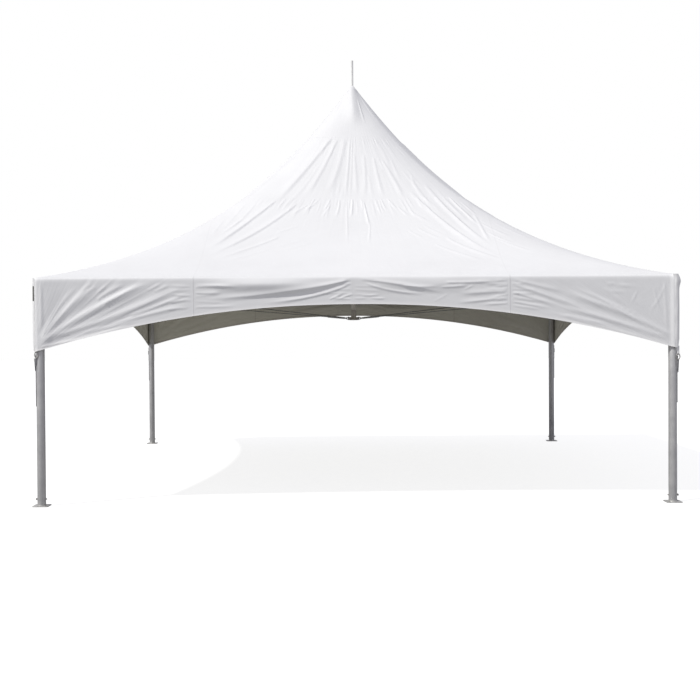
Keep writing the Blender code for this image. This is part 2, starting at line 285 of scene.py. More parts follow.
def drilled(piece, holes, radius):
    """Cuts round holes straight down through a piece."""
    cutters = bmesh.new()
    for place in holes:
        bmesh.ops.create_cone(
            cutters, cap_ends=True, segments=20, radius1=radius, radius2=radius, depth=DRILL_DEPTH,
            matrix=Matrix.Translation(place),
        )
    mesh = bpy.data.meshes.new("drill")
    cutters.to_mesh(mesh)
    cutters.free()
    drill = bpy.data.objects.new("drill", mesh)
    bpy.context.scene.collection.objects.link(drill)
    cut = piece.modifiers.new("holes", "BOOLEAN")
    cut.operation = "DIFFERENCE"
    cut.solver = "EXACT"
    cut.object = drill
    graph = bpy.context.evaluated_depsgraph_get()
    result = bpy.data.meshes.new_from_object(piece.evaluated_get(graph))
    piece.modifiers.clear()
    piece.data = result
    bpy.data.objects.remove(drill, do_unlink=True)


for name, (x_side, y_side) in CORNERS.items():
    low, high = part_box("base_plate_" + name)
    centre = (Vector(low) + Vector(high)) / 2
    bm = tidy_copy("base_plate_" + name)
    soften(bm, PLATE_EDGE)
    plate = finished("foot_plate_" + name, bm, PLATE_METAL, ["base_plate_" + name])
    inset = (high[0] - low[0]) / 2 - STAKE_HOLE_INSET
    holes = [
        (centre.x + along * inset * x_side, centre.y - along * inset * y_side, 0) for along in (-1, 1)
    ]
    drilled(plate, holes, STAKE_HOLE_RADIUS)
    bm = bmesh.new()
    weld_at = Matrix.Translation((centre.x, centre.y, FOOT_WELD_Z))
    add_ring(bm, LEG_RADIUS + 0.5 * WELD_RADIUS, WELD_RADIUS, 48, 8, weld_at)
    finished("foot_weld_" + name, bm, PLATE_METAL)

# Corner fittings: bent and welded steel tube, galvanised. Each holds two beams, a leg and the lug
# of a cable, and is set with a bolt in each arm.
CAST_METAL = metal(
    "galvanised_fitting", (0.50, 0.50, 0.50), (0.33, 0.33, 0.34), 0.7, 30.0, (30.0, 30.0, 30.0),
)
FITTING_RADIUS = 0.046
FITTING_ARM = 0.150
FITTING_EDGE = 0.0015
BOLT_RADIUS, BOLT_HEIGHT, BOLT_EDGE = 0.009, 0.008, 0.0008
BOLT_WASHER, BOLT_FLANK = 1.9, 1.15
BOLT_INSET = 0.035
SOCKET_WELD_DROP = 0.050


def add_bolt(bm, centre, axis):
    """A hexagon bolt head on a washer, standing out along an axis."""
    matrix = pointing(axis, centre)
    add_turned(bm, rounded_rod(BOLT_WASHER * BOLT_RADIUS, -0.004, 0.002, 0.0006), 20, matrix)
    head = bmesh.ops.create_cone(
        bm, cap_ends=True, segments=6, radius1=BOLT_FLANK * BOLT_RADIUS, radius2=BOLT_RADIUS,
        depth=BOLT_HEIGHT, matrix=matrix @ Matrix.Translation((0, 0, 0.002 + BOLT_HEIGHT / 2)),
    )["verts"]
    edges = {edge for vert in head for edge in vert.link_edges}
    bmesh.ops.bevel(
        bm, geom=list(edges), offset=BOLT_EDGE, affect="EDGES", segments=1, profile=0.5, material=-1,
    )


leg_line = (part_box("leg_front_right")[0][0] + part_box("leg_front_right")[1][0]) / 2
beam_z = (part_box("eave_beam_front_left")[0][2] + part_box("eave_beam_front_left")[1][2]) / 2
for name, (x_side, y_side) in CORNERS.items():
    corner = Vector((leg_line * x_side, leg_line * y_side, beam_z))
    bm = tidy_copy("corner_fitting_" + name)
    soften(bm, FITTING_EDGE)
    finished("corner_elbow_" + name, bm, CAST_METAL, ["corner_fitting_" + name])
    bm = bmesh.new()
    bolt_at = FITTING_ARM - BOLT_INSET
    add_bolt(bm, corner + Vector((-x_side * bolt_at, 0, -FITTING_RADIUS)), (0, 0, -1))
    add_bolt(bm, corner + Vector((0, -y_side * bolt_at, -FITTING_RADIUS)), (0, 0, -1))
    weld_at = Matrix.Translation(corner + Vector((0, 0, -SOCKET_WELD_DROP)))
    add_ring(bm, FITTING_RADIUS - 0.001, WELD_RADIUS, 40, 8, weld_at)
    finished("corner_bolts_" + name, bm, CAST_METAL)

# Eave beams and splices: the same tube as the legs, two lengths to a side, joined in the middle by
# a steel sleeve with a bolt at each end.
SIDES = {"front": 0, "right": 1, "back": 2, "left": 3}
SIDE_NAMES = list(SIDES)
BEAM_METAL = metal("beam_tube", (0.50, 0.50, 0.50), (0.36, 0.36, 0.37), 0.55, 9.0, (30.0, 30.0, 30.0))
SPLICE_BOLT_INSET = 0.040


def side_turn(quarter):
    """The turn about the mast that carries the front side to another."""
    return Matrix.Rotation(quarter * math.pi / 2, 4, "Z")


for side, quarter in SIDES.items():
    turn = side_turn(quarter)
    for end, neighbour in ((-1, SIDE_NAMES[quarter - 1]), (1, SIDE_NAMES[(quarter + 1) % 4])):
        node = f"eave_beam_{side}_{neighbour}"
        low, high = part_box(node)
        along = quarter % 2
        start = min(abs(low[along]), abs(high[along]))
        stop = max(abs(low[along]), abs(high[along]))
        bm = bmesh.new()
        matrix = turn @ pointing((end, 0, 0), (0, -leg_line, beam_z))
        add_turned(bm, rounded_rod(LEG_RADIUS, start, stop, TUBE_EDGE), matrix=matrix)
        finished(f"beam_tube_{side}_{neighbour}", bm, BEAM_METAL, [node])
    low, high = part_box("eave_splice_" + side)
    half = (high[quarter % 2] - low[quarter % 2]) / 2
    bm = bmesh.new()
    matrix = turn @ pointing((1, 0, 0), (0, -leg_line, beam_z))
    add_turned(bm, rounded_rod(FITTING_RADIUS, -half, half, 0.003), matrix=matrix)
    finished("splice_sleeve_" + side, bm, CAST_METAL, ["eave_splice_" + side])
    bm = bmesh.new()
    for place in (SPLICE_BOLT_INSET - half, half - SPLICE_BOLT_INSET):
        add_bolt(bm, turn @ Vector((place, -leg_line, beam_z - FITTING_RADIUS)), (0, 0, -1))
    finished("splice_bolts_" + side, bm, CAST_METAL)

# Stay cables: six strands of steel wire laid round a core, pressed into a sleeve with a thimble at
# the corner, and tightened by a pipe-bodied screw with a jaw at the hub. They hold up the mast.
ROPE_METAL = metal("wire_rope", (0.36, 0.36, 0.35), (0.16, 0.16, 0.16), 0.7, 60.0, (40.0, 40.0, 40.0))
SCREW_METAL = metal("screw_body", (0.42, 0.42, 0.40), (0.28, 0.28, 0.27), 0.6, 30.0, (30.0, 30.0, 30.0))
STRAND_COUNT = 6
STRAND_CORE, STRAND_RISE = 0.92, 0.10
ROPE_RADIUS = 0.005
ROPE_LAY = 0.060
SLEEVE_RADIUS = 0.009
SLEEVE_LENGTH = 0.090
SCREW_LENGTH = 0.380
SCREW_RADIUS = 0.0095
HUB_EAR_RADIUS = 0.092
HUB_EAR_Z = 1.817
LUG_REACH = 0.115
LUG_DROP = 0.020
CHEEK_THICKNESS = 0.004
LUG_CHEEK, EAR_CHEEK = (0.022, 0.046, 0.008), (0.024, 0.060, 0.010)
SCREW_BODY_START, SCREW_BODY_END, SCREW_COLLAR = 0.040, 0.075, 0.022
LUG_PIN, EAR_PIN = (0.013, 0.004), (0.015, 0.005)


def add_rope(bm, start, stop, matrix):
    """Strands that twist about Z between two heights."""
    ring = bmesh.ops.create_circle(bm, segments=2 * STRAND_COUNT, radius=ROPE_RADIUS)["verts"]
    for vert in ring:
        angle = math.atan2(vert.co.y, vert.co.x)
        vert.co *= STRAND_CORE + STRAND_RISE * math.cos(STRAND_COUNT * angle)
        vert.co.z = start
    edges = list({edge for vert in ring for edge in vert.link_edges})
    before = set(bm.verts) - set(ring)
    turns = (stop - start) / ROPE_LAY
    steps = round(turns * STRAND_COUNT)
    bmesh.ops.spin(
        bm, geom=ring + edges, axis=(0, 0, 1), cent=(0, 0, 0), dvec=(0, 0, (stop - start) / steps),
        steps=steps, angle=math.tau * turns,
    )
    bmesh.ops.transform(bm, matrix=matrix, verts=[vert for vert in bm.verts if vert not in before])


def add_block(bm, size, matrix, edge=0.001):
    """A box with bevelled edges, put where the matrix says."""
    before = set(bm.verts)
    bmesh.ops.create_cube(bm, size=1.0)
    fresh = [vert for vert in bm.verts if vert not in before]
    bmesh.ops.scale(bm, vec=size, verts=fresh)
    edges = list({e for vert in fresh for e in vert.link_edges})
    bmesh.ops.bevel(bm, geom=edges, offset=edge, affect="EDGES", segments=2, profile=0.5, material=-1)
    fresh = [vert for vert in bm.verts if vert not in before]
    bmesh.ops.transform(bm, matrix=matrix, verts=fresh)


for name, (x_side, y_side) in CORNERS.items():
    outward = Vector((x_side, y_side, 0)) / math.sqrt(2)
    corner = Vector((leg_line * x_side, leg_line * y_side, beam_z - LUG_DROP)) - outward * LUG_REACH
    ear = outward * HUB_EAR_RADIUS + Vector((0, 0, HUB_EAR_Z))
    length = (ear - corner).length
    matrix = pointing((ear - corner).normalized(), corner)
    screw = length - SCREW_LENGTH
    bm = bmesh.new()
    add_rope(bm, SLEEVE_LENGTH - 0.01, screw + 0.02, matrix)
    finished("cable_rope_" + name, bm, ROPE_METAL, ["stay_cable_" + name])
    bm = bmesh.new()
    add_turned(bm, [
        (0, 0.002), (0.7 * SLEEVE_RADIUS, 0.002), (SLEEVE_RADIUS, 0.008),
        (SLEEVE_RADIUS, SLEEVE_LENGTH - 0.012), (0.65 * SLEEVE_RADIUS, SLEEVE_LENGTH), (0, SLEEVE_LENGTH),
    ], 20, matrix)
    for side in (-1, 1):
        for (width, height, apart), at in ((LUG_CHEEK, 0), (EAR_CHEEK, length + 0.002)):
            cheek = matrix @ Matrix.Translation((0, side * apart, at))
            add_block(bm, (width, CHEEK_THICKNESS, height), cheek)
    body_start, body_end = screw + SCREW_BODY_START, length - SCREW_BODY_END
    add_turned(bm, rounded_rod(SCREW_RADIUS, body_start, body_end, 0.003), 24, matrix)
    for start in (body_start - SCREW_COLLAR, body_end - 0.002):
        stop = start + SCREW_COLLAR + 0.002
        add_turned(bm, rounded_rod(1.05 * SCREW_RADIUS, start, stop), 6, matrix)
    for start, stop in ((screw - 0.010, body_start), (body_end, length - 0.020)):
        add_turned(bm, rounded_rod(0.5 * SCREW_RADIUS, start, stop, 0.001), 16, matrix)
    across = matrix.to_quaternion() @ Vector((0, 1, 0))
    add_pin(bm, corner, across, *LUG_PIN)
    add_pin(bm, ear, across, *EAR_PIN)
    finished("cable_screw_" + name, bm, SCREW_METAL)

# Hub and mast: a steel disc with an ear for each cable carries the mast tube, which is pinned in
# its socket. The mast pushes the peak of the cloth up.
HUB_METAL = metal("hub_steel", (0.64, 0.60, 0.55), (0.46, 0.43, 0.40), 0.0, 30.0, (30.0, 30.0, 30.0))
MAST_METAL = metal("mast_tube", (0.90, 0.87, 0.82), (0.70, 0.67, 0.62), 0.0)
SPIRE_PAINT = metal("spire_paint", (0.80, 0.80, 0.79), (0.70, 0.70, 0.69), 0.0, 20.0, (30.0, 30.0, 8.0))
MAST_RADIUS = 0.025
MAST_SLEEVE_RADIUS = 0.027
SLEEVE_TOP_Z = 2.020
HUB_DROP = 0.014
HUB_PIN_RISE, HEAD_PIN_DROP, MAST_PIN_RADIUS = 0.070, 0.060, 0.005
SPIRE_RADIUS = 0.0125

bm = tidy_copy("mast_base")
soften(bm, FITTING_EDGE)
bmesh.ops.translate(bm, vec=(0, 0, -HUB_DROP), verts=bm.verts[:])
finished("mast_hub", bm, HUB_METAL, ["mast_base"])
low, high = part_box("centre_mast")
bm = bmesh.new()
add_turned(bm, rounded_rod(MAST_RADIUS, low[2], high[2], TUBE_EDGE))
add_turned(bm, rounded_rod(MAST_SLEEVE_RADIUS, low[2] + 0.002, SLEEVE_TOP_Z, 0.0010))
finished("mast_pole", bm, MAST_METAL, ["centre_mast"])
bm = bmesh.new()
add_pin(bm, (0, 0, low[2] + HUB_PIN_RISE), (1, 1, 0), MAST_RADIUS + 0.014, MAST_PIN_RADIUS)
add_pin(bm, (0, 0, high[2] - HEAD_PIN_DROP), (1, 1, 0), MAST_RADIUS + 0.006, MAST_PIN_RADIUS)
top_weld = Matrix.Translation((0, 0, high[2] - WELD_RADIUS))
add_ring(bm, MAST_RADIUS + 0.002, WELD_RADIUS, 40, 8, top_weld)
finished("mast_pins", bm, PIN_METAL)
bm = tidy_copy("mast_spire")
soften(bm, 0.002)
finished("spire_rod", bm, SPIRE_PAINT, ["mast_spire"])

# Cloth top: coated white cloth, welded from flat panels into one cover. It is pulled down over the
# beams from the mast head, so it folds towards the corners and gathers under its welds. Its inner
# face is painted a dull grey brown, darker and warmer than the outer face: partly the duller colour
# of that side and partly a painted shade for the inside of the cover.
MM = 0.001
EAVE_REACH = -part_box("roof_front")[0][1]
ROOF_RISE = 2.515
RISE_LINEAR = 0.32
RISE_SQUARE = 0.75
SQUARENESS = 3.2
FACE_SAG = 0.050
EAVE_SLOPE = math.atan(ROOF_RISE * RISE_LINEAR / EAVE_REACH)
CLOTH_WRAP = EAVE_REACH - leg_line
EAVE_Z = beam_z + CLOTH_WRAP / math.cos(EAVE_SLOPE) - CLOTH_WRAP * math.tan(EAVE_SLOPE)
SHARPEST_CORNER = 200.0
CLOTH_THICKNESS = 0.0016
SEAM_HALF = 0.008
HEM_WIDTH, STITCH_UP = 0.030, 0.024
LEFT_SEAM, MIDDLE_SEAM, RIGHT_SEAM = -1.55, -0.04, 1.45
ROOF_PART, HUNG_PART = 5.0, 9.0
CROWN_REACH = 0.590
UPPER_REACH = 1.360
LAP = 0.020
LAP_EDGE = 0.030
LAP_LIFT = 0.0003
LAP_TUCK = 0.0040
VALANCE_MIDDLE_Z = 1.904
VALANCE_CORNER_Z = 1.464
VALANCE_POWER = 2.1


def corner_power(level):
    """How square the cloth is at a level: nearly sharp at the eave, and round at the peak."""
    return np.minimum(2 + SQUARENESS * (1 - level) / np.maximum(level, 1e-6), SHARPEST_CORNER)


def outline_radius(reach, angle, power):
    """Distance from the mast of the rounded square of a reach, in the direction of an angle."""
    along, across = np.abs(np.cos(angle)), np.abs(np.sin(angle))
    longer = np.maximum(along, across)
    ratio = np.minimum(along, across) / longer
    return reach / (longer * (1 + ratio ** power) ** (1 / power)), ratio


def roof_surface(reach, angle):
    """The cloth's outer face over the front side, at a reach from the mast and an angle from -Y."""
    level = 1 - reach / EAVE_REACH
    radius, ratio = outline_radius(reach, angle, corner_power(level))
    cubic = 1 - RISE_LINEAR - RISE_SQUARE
    rise = RISE_LINEAR * level + RISE_SQUARE * level ** 2 + cubic * level ** 3
    sag = FACE_SAG * np.sin(np.pi * level) ** 2 * (1 - ratio ** 2)
    z = EAVE_Z + ROOF_RISE * rise - sag
    return np.stack([radius * np.sin(angle), -radius * np.cos(angle), z], axis=-1)


# The long folds of the front side: where each starts, a point on its way and where it ends, in
# metres, then its height and the widths of its shaded and its lit side in millimetres. On the roof
# the places are along the side and out from the mast, and on the valance along the side and up.
FRONT_ROOF_FOLDS = (
    ((-0.23, 0.58), (-0.55, 1.00), (-0.91, 1.50), 12, 18, 60),
    ((-0.85, 1.40), (-1.16, 1.77), (-1.52, 2.26), 11, 17, 50),
    ((-0.17, 0.60), (-0.36, 1.00), (-0.54, 1.37), 7, 15, 40),
    ((-0.61, 1.43), (-0.99, 1.86), (-1.54, 2.44), 9, 15, 50),
    ((-0.38, 0.90), (-0.55, 1.20), (-0.76, 1.50), 4, 11, 18),
    ((-0.10, 0.60), (-0.18, 0.98), (-0.32, 1.37), 7, 24, 40),
    ((-0.20, 1.14), (-0.23, 1.25), (-0.25, 1.38), 3, 11, 14),
    ((-0.15, 1.08), (-0.165, 1.20), (-0.17, 1.36), 3, 11, 14),
    ((-0.11, 1.18), (-0.13, 1.28), (-0.145, 1.40), 3, 10, 12),
    ((-0.035, 0.60), (-0.062, 1.00), (-0.098, 1.38), 6, 10, 26),
    ((-0.010, 0.60), (-0.030, 1.02), (-0.048, 1.38), 6, 9, 9),
    ((-0.085, 1.38), (-0.080, 1.66), (-0.080, 2.20), 3, 9, 14),
    ((-0.022, 1.37), (-0.025, 1.49), (-0.040, 1.66), 7, 12, 14),
    ((-0.40, 1.40), (-0.47, 1.48), (-0.58, 1.57), 5, 11, 16),
    ((-0.50, 1.45), (-0.58, 1.52), (-0.68, 1.61), 5, 12, 16),
    ((-0.26, 1.37), (-0.29, 1.45), (-0.34, 1.56), 5, 11, 16),
    ((-0.27, 1.48), (-0.31, 1.56), (-0.36, 1.66), 4, 11, 14),
    ((-0.165, 1.38), (-0.17, 1.50), (-0.21, 1.68), 5, 12, 16),
    ((-1.08, 1.45), (-1.20, 1.67), (-1.40, 1.98), 4, 14, 22),
    ((-1.20, 1.46), (-1.28, 1.62), (-1.40, 1.84), 3, 13, 20),
    ((-1.16, 1.66), (-1.30, 1.81), (-1.42, 1.98), 4, 14, 20),
    ((-1.40, 1.70), (-1.45, 1.82), (-1.50, 1.98), 3, 14, 18),
    ((-0.78, 1.98), (-1.04, 2.19), (-1.42, 2.48), 7, 17, 30),
    ((-0.60, 1.79), (-0.71, 1.85), (-0.86, 1.93), 4, 12, 16),
    ((-0.55, 2.04), (-0.68, 2.12), (-0.84, 2.20), 3, 14, 18),
    ((-0.44, 2.07), (-0.58, 2.17), (-0.76, 2.27), 3, 14, 18),
    ((-0.90, 2.25), (-1.08, 2.38), (-1.32, 2.54), 3, 16, 24),
    ((0.01, 0.78), (0.025, 1.05), (0.03, 1.36), 5, 16, 26),
    ((0.12, 0.78), (0.13, 1.08), (0.11, 1.38), 5, 14, 32),
    ((0.17, 1.04), (0.185, 1.20), (0.21, 1.38), 4, 13, 18),
    ((0.23, 0.82), (0.275, 1.10), (0.33, 1.38), 7, 15, 26),
    ((0.32, 0.86), (0.45, 1.12), (0.56, 1.41), 9, 16, 24),
    ((0.37, 1.08), (0.42, 1.22), (0.47, 1.38), 4, 8, 9),
    ((0.43, 0.86), (0.47, 0.98), (0.53, 1.14), 4, 12, 16),
    ((0.28, 0.84), (0.31, 0.91), (0.35, 1.00), 4, 9, 12),
    ((0.62, 1.27), (0.93, 1.72), (1.44, 2.44), 10, 17, 36),
    ((0.56, 1.01), (0.63, 1.12), (0.72, 1.26), 4, 9, 11),
    ((0.61, 1.00), (0.68, 1.11), (0.76, 1.24), 4, 9, 11),
    ((0.65, 1.06), (0.72, 1.28), (0.88, 1.52), 9, 13, 18),
    ((0.79, 1.18), (1.05, 1.62), (1.41, 2.22), 10, 17, 28),
    ((0.92, 1.25), (1.04, 1.47), (1.20, 1.72), 5, 10, 14),
    ((1.05, 1.37), (1.17, 1.57), (1.34, 1.84), 9, 13, 15),
    ((1.18, 1.45), (1.25, 1.55), (1.34, 1.68), 5, 11, 13),
    ((1.30, 1.64), (1.34, 1.85), (1.39, 2.14), 7, 15, 16),
    ((1.35, 1.78), (1.47, 1.90), (1.66, 2.06), 4, 13, 18),
    ((1.38, 1.92), (1.49, 2.04), (1.66, 2.18), 4, 13, 18),
    ((1.50, 1.78), (1.66, 1.93), (1.86, 2.10), 3, 14, 18),
    ((1.46, 2.06), (1.62, 2.20), (1.84, 2.38), 3, 15, 20),
    ((0.37, 1.37), (0.41, 1.45), (0.48, 1.55), 5, 12, 13),
    ((0.47, 1.49), (0.52, 1.56), (0.60, 1.65), 5, 12, 14),
    ((0.59, 1.54), (0.68, 1.64), (0.83, 1.76), 5, 13, 18),
    ((0.66, 1.83), (0.77, 1.94), (0.93, 2.06), 4, 13, 18),
    ((0.73, 1.78), (0.82, 1.88), (0.96, 1.99), 3, 12, 16),
    ((0.56, 1.86), (0.62, 1.93), (0.72, 2.03), 4, 12, 14),
    ((0.105, 1.41), (0.13, 1.60), (0.16, 1.81), 7, 11, 14),
    ((0.16, 1.75), (0.155, 1.89), (0.14, 2.12), 4, 9, 10),
    ((0.075, 1.36), (0.085, 1.44), (0.09, 1.54), 4, 10, 12),
    ((0.23, 1.38), (0.25, 1.47), (0.28, 1.58), 4, 12, 14),
    ((0.29, 1.37), (0.315, 1.45), (0.35, 1.55), 4, 12, 13),
    ((0.95, 2.01), (1.15, 2.24), (1.48, 2.54), 6, 18, 28),
    ((0.82, 2.14), (1.02, 2.33), (1.32, 2.58), 4, 17, 26),
    ((0.22, 0.60), (0.235, 0.64), (0.26, 0.70), 4, 7, 7),
    ((0.25, 0.60), (0.27, 0.65), (0.30, 0.71), 4, 7, 7),
    ((0.33, 0.60), (0.36, 0.65), (0.40, 0.71), 4, 7, 7),
    ((0.38, 0.60), (0.40, 0.64), (0.44, 0.70), 3, 7, 7),
    ((0.12, 0.60), (0.12, 0.64), (0.13, 0.70), 3, 7, 8),
    ((0.50, 0.70), (0.56, 0.76), (0.63, 0.83), 4, 8, 9),
)
FRONT_CROWN_FOLDS = (
    ((-0.010, 0.02), (-0.005, 0.20), (0.020, 0.52), 34, 85, 80),
    ((0.06, 0.17), (0.10, 0.30), (0.15, 0.46), 6, 9, 10),
)
FRONT_VALANCE_FOLDS = (
    ((-3.01, 1.53), (-2.50, 1.865), (-1.86, 2.14), 16, 54, 32),
    ((-2.90, 1.60), (-2.25, 1.82), (-1.56, 2.11), 10, 27, 34),
    ((-3.00, 1.55), (-2.74, 1.87), (-2.40, 2.13), 12, 56, 40),
    ((-2.98, 1.60), (-2.82, 1.88), (-2.62, 2.10), 6, 13, 20),
    ((-2.985, 2.12), (-2.98, 1.90), (-2.985, 1.62), 6, 15, 16),
    ((-2.46, 1.95), (-2.34, 2.03), (-2.18, 2.11), 8, 14, 20),
    ((-2.40, 1.91), (-2.22, 2.01), (-1.98, 2.12), 8, 14, 22),
    ((-2.16, 1.80), (-1.88, 1.90), (-1.57, 2.02), 8, 16, 17),
    ((-2.34, 1.72), (-1.96, 1.82), (-1.57, 1.91), 7, 18, 20),
    ((-2.62, 1.64), (-2.34, 1.70), (-2.02, 1.77), 5, 14, 15),
    ((-3.00, 1.51), (-2.86, 1.54), (-2.60, 1.60), 4, 10, 14),
    ((-2.60, 2.05), (-2.55, 2.08), (-2.49, 2.12), 5, 9, 11),
    ((-2.56, 2.02), (-2.51, 2.05), (-2.45, 2.09), 5, 9, 11),
    ((-2.46, 2.02), (-2.42, 2.05), (-2.36, 2.09), 5, 9, 11),
    ((-1.98, 2.04), (-1.92, 2.07), (-1.84, 2.11), 5, 11, 13),
    ((-1.92, 2.03), (-1.85, 2.06), (-1.76, 2.10), 5, 11, 13),
    ((-1.78, 1.92), (-1.68, 1.945), (-1.57, 1.965), 5, 10, 11),
    ((-1.80, 1.86), (-1.70, 1.87), (-1.57, 1.88), 4, 10, 11),
    ((-0.04, 2.145), (-0.62, 2.03), (-1.50, 1.955), 14, 20, 34),
    ((-0.06, 2.10), (-0.40, 1.985), (-0.92, 1.91), 7, 14, 18),
    ((-0.26, 1.95), (-0.20, 1.975), (-0.12, 2.01), 5, 9, 12),
    ((-0.16, 1.955), (-0.10, 1.98), (-0.02, 2.00), 5, 9, 12),
    ((-1.53, 2.075), (-1.36, 2.08), (-1.08, 2.075), 7, 14, 14),
    ((-1.53, 2.02), (-1.42, 2.015), (-1.26, 2.02), 7, 13, 14),
    ((-1.53, 1.885), (-1.38, 1.885), (-1.12, 1.895), 4, 12, 14),
    ((0.02, 2.145), (0.40, 2.09), (0.88, 2.00), 9, 17, 24),
    ((0.08, 2.105), (0.34, 2.03), (0.68, 1.995), 6, 14, 13),
    ((0.04, 1.985), (0.12, 1.985), (0.22, 1.99), 4, 9, 12),
    ((0.14, 1.96), (0.20, 1.955), (0.28, 1.955), 4, 9, 12),
    ((0.43, 2.075), (0.60, 2.065), (0.80, 2.07), 5, 13, 18),
    ((0.84, 2.105), (1.06, 2.105), (1.42, 2.12), 7, 13, 18),
    ((0.80, 2.06), (0.92, 2.065), (1.08, 2.08), 5, 12, 14),
    ((1.43, 2.02), (1.22, 2.01), (0.94, 1.995), 7, 18, 28),
    ((1.43, 1.96), (1.22, 1.935), (0.92, 1.91), 6, 12, 22),
    ((1.43, 1.905), (1.34, 1.90), (1.18, 1.895), 5, 10, 12),
    ((1.43, 2.125), (1.38, 2.123), (1.30, 2.12), 4, 8, 8),
    ((1.43, 2.075), (1.38, 2.07), (1.30, 2.068), 4, 8, 8),
    ((1.43, 1.985), (1.38, 1.978), (1.28, 1.965), 5, 8, 9),
    ((1.43, 1.945), (1.38, 1.94), (1.29, 1.932), 5, 8, 8),
    ((0.73, 1.925), (0.80, 1.96), (0.89, 2.015), 1.5, 11, 12),
    ((1.02, 2.035), (1.06, 2.055), (1.12, 2.085), 3, 9, 10),
    ((3.00, 1.575), (2.50, 1.815), (1.90, 2.03), 11, 27, 34),
    ((3.00, 1.545), (2.45, 1.725), (1.78, 1.91), 8, 18, 30),
    ((2.68, 1.78), (2.36, 1.92), (2.04, 2.06), 6, 13, 14),
    ((1.48, 2.085), (1.80, 1.975), (2.24, 1.82), 7, 18, 26),
    ((1.48, 2.13), (1.70, 2.075), (2.00, 2.00), 5, 15, 20),
    ((1.48, 2.01), (1.66, 1.955), (1.94, 1.87), 7, 14, 18),
    ((1.48, 1.965), (1.58, 1.945), (1.76, 1.91), 5, 9, 11),
    ((1.48, 1.92), (1.62, 1.895), (1.86, 1.85), 6, 10, 11),
    ((1.48, 1.885), (1.60, 1.865), (1.78, 1.84), 4, 10, 11),
    ((1.96, 1.79), (2.16, 1.745), (2.46, 1.67), 6, 12, 15),
    ((2.36, 2.09), (2.50, 2.07), (2.70, 2.045), 4, 9, 11),
    ((2.34, 2.03), (2.44, 2.01), (2.56, 2.00), 3, 10, 12),
    ((2.82, 2.04), (2.84, 1.94), (2.88, 1.82), 4, 9, 9),
    ((2.93, 2.08), (2.87, 1.95), (2.77, 1.80), 3, 9, 10),
    ((2.60, 1.90), (2.63, 1.95), (2.67, 2.03), 3, 9, 9),
    ((2.92, 2.11), (2.93, 1.86), (2.95, 1.60), 3, 14, 14),
)
ROOF_SHADE = np.array([1.0, 0.0])
VALANCE_SHADE = np.array([0.5, -0.8])
CREST_STEPS = 8
FOLD_LEAD = 0.10
FOLD_TAIL = 0.35
CREST_POWER = 1.7
TROUGH_SHARE = 0.35
TROUGH_WIDTH = 2.5
THIN_START, WIDENING = 0.60, 0.60
CORNER_CREASES, FAN_Z, FAN_SQUEEZE = 10, 1.48, 0.75
WELD_CREASES, LOWEST_CREASE_Z, CREASE_STEP = 4, 1.95, 0.045
LOW_START, HEIGHTENING = 0.70, 0.50


def eased(share):
    """0 to 1 with a level start and end."""
    share = np.clip(share, 0, 1)
    return share * share * (3 - 2 * share)


def fold_heights(place, folds, shaded_side):
    """Height of the folds at each place. A fold has a steep side in the shade, a flatter lit one
    and a shallow trough past each. It swells soon after its start and dies out slowly."""
    total = np.zeros(len(place))
    step = np.linspace(0, 1, CREST_STEPS + 1)[:, None]
    for start, bend, stop, height, shade, lit in folds:
        start, bend, stop = np.array(start), np.array(bend), np.array(stop)
        pull = 2 * bend - (start + stop) / 2
        crest = (1 - step) ** 2 * start + 2 * step * (1 - step) * pull + step ** 2 * stop
        margin = 5 * MM * max(shade, lit)
        inside = (place > crest.min(axis=0) - margin) & (place < crest.max(axis=0) + margin)
        near = np.flatnonzero(inside.all(axis=-1))
        spot = place[near]
        closest = np.full(len(spot), np.inf)
        aside = np.zeros(len(spot))
        along = np.zeros(len(spot))
        for i in range(CREST_STEPS):
            way = crest[i + 1] - crest[i]
            length = np.hypot(*way)
            way = way / length
            across = np.array([-way[1], way[0]])
            across = across * np.sign(across @ shaded_side)
            offset = spot - crest[i]
            share = np.clip(offset @ way / length, 0, 1)
            miss = offset - share[:, None] * length * way
            distance = np.hypot(miss[:, 0], miss[:, 1])
            closer = distance < closest
            closest[closer] = distance[closer]
            aside[closer] = (distance * np.sign(offset @ across))[closer]
            along[closer] = ((i + share) / CREST_STEPS)[closer]
        width = np.where(aside > 0, shade, lit) * MM * (THIN_START + WIDENING * along)
        swell = eased(along / FOLD_LEAD) * eased((1 - along) / FOLD_TAIL)
        swell *= LOW_START + HEIGHTENING * along
        crest_shape = np.exp(-(np.abs(aside) / width) ** CREST_POWER)
        trough_shape = np.exp(-(aside / (TROUGH_WIDTH * width)) ** 2)
        total[near] += height * MM * swell * ((1 + TROUGH_SHARE) * crest_shape - TROUGH_SHARE * trough_shape)
    return total


def like_front(folds, side, chance):
    """The long folds of a side: the front's own, or much the same ones a little moved."""
    if side == "front":
        return list(folds)
    flip = -1 if side in ("left", "back") else 1
    moved = []
    for start, bend, stop, height, shade, lit in folds:
        shift = chance.uniform(-0.05, 0.05)
        bow = chance.uniform(-0.03, 0.03)
        grown = chance.uniform(0.8, 1.3)
        moved.append((
            (flip * start[0], start[1]), (flip * bend[0] + shift / 2 + bow, bend[1]),
            (flip * stop[0] + shift, stop[1]), height * grown, 1.4 * shade, 1.3 * lit,
        ))
    return moved


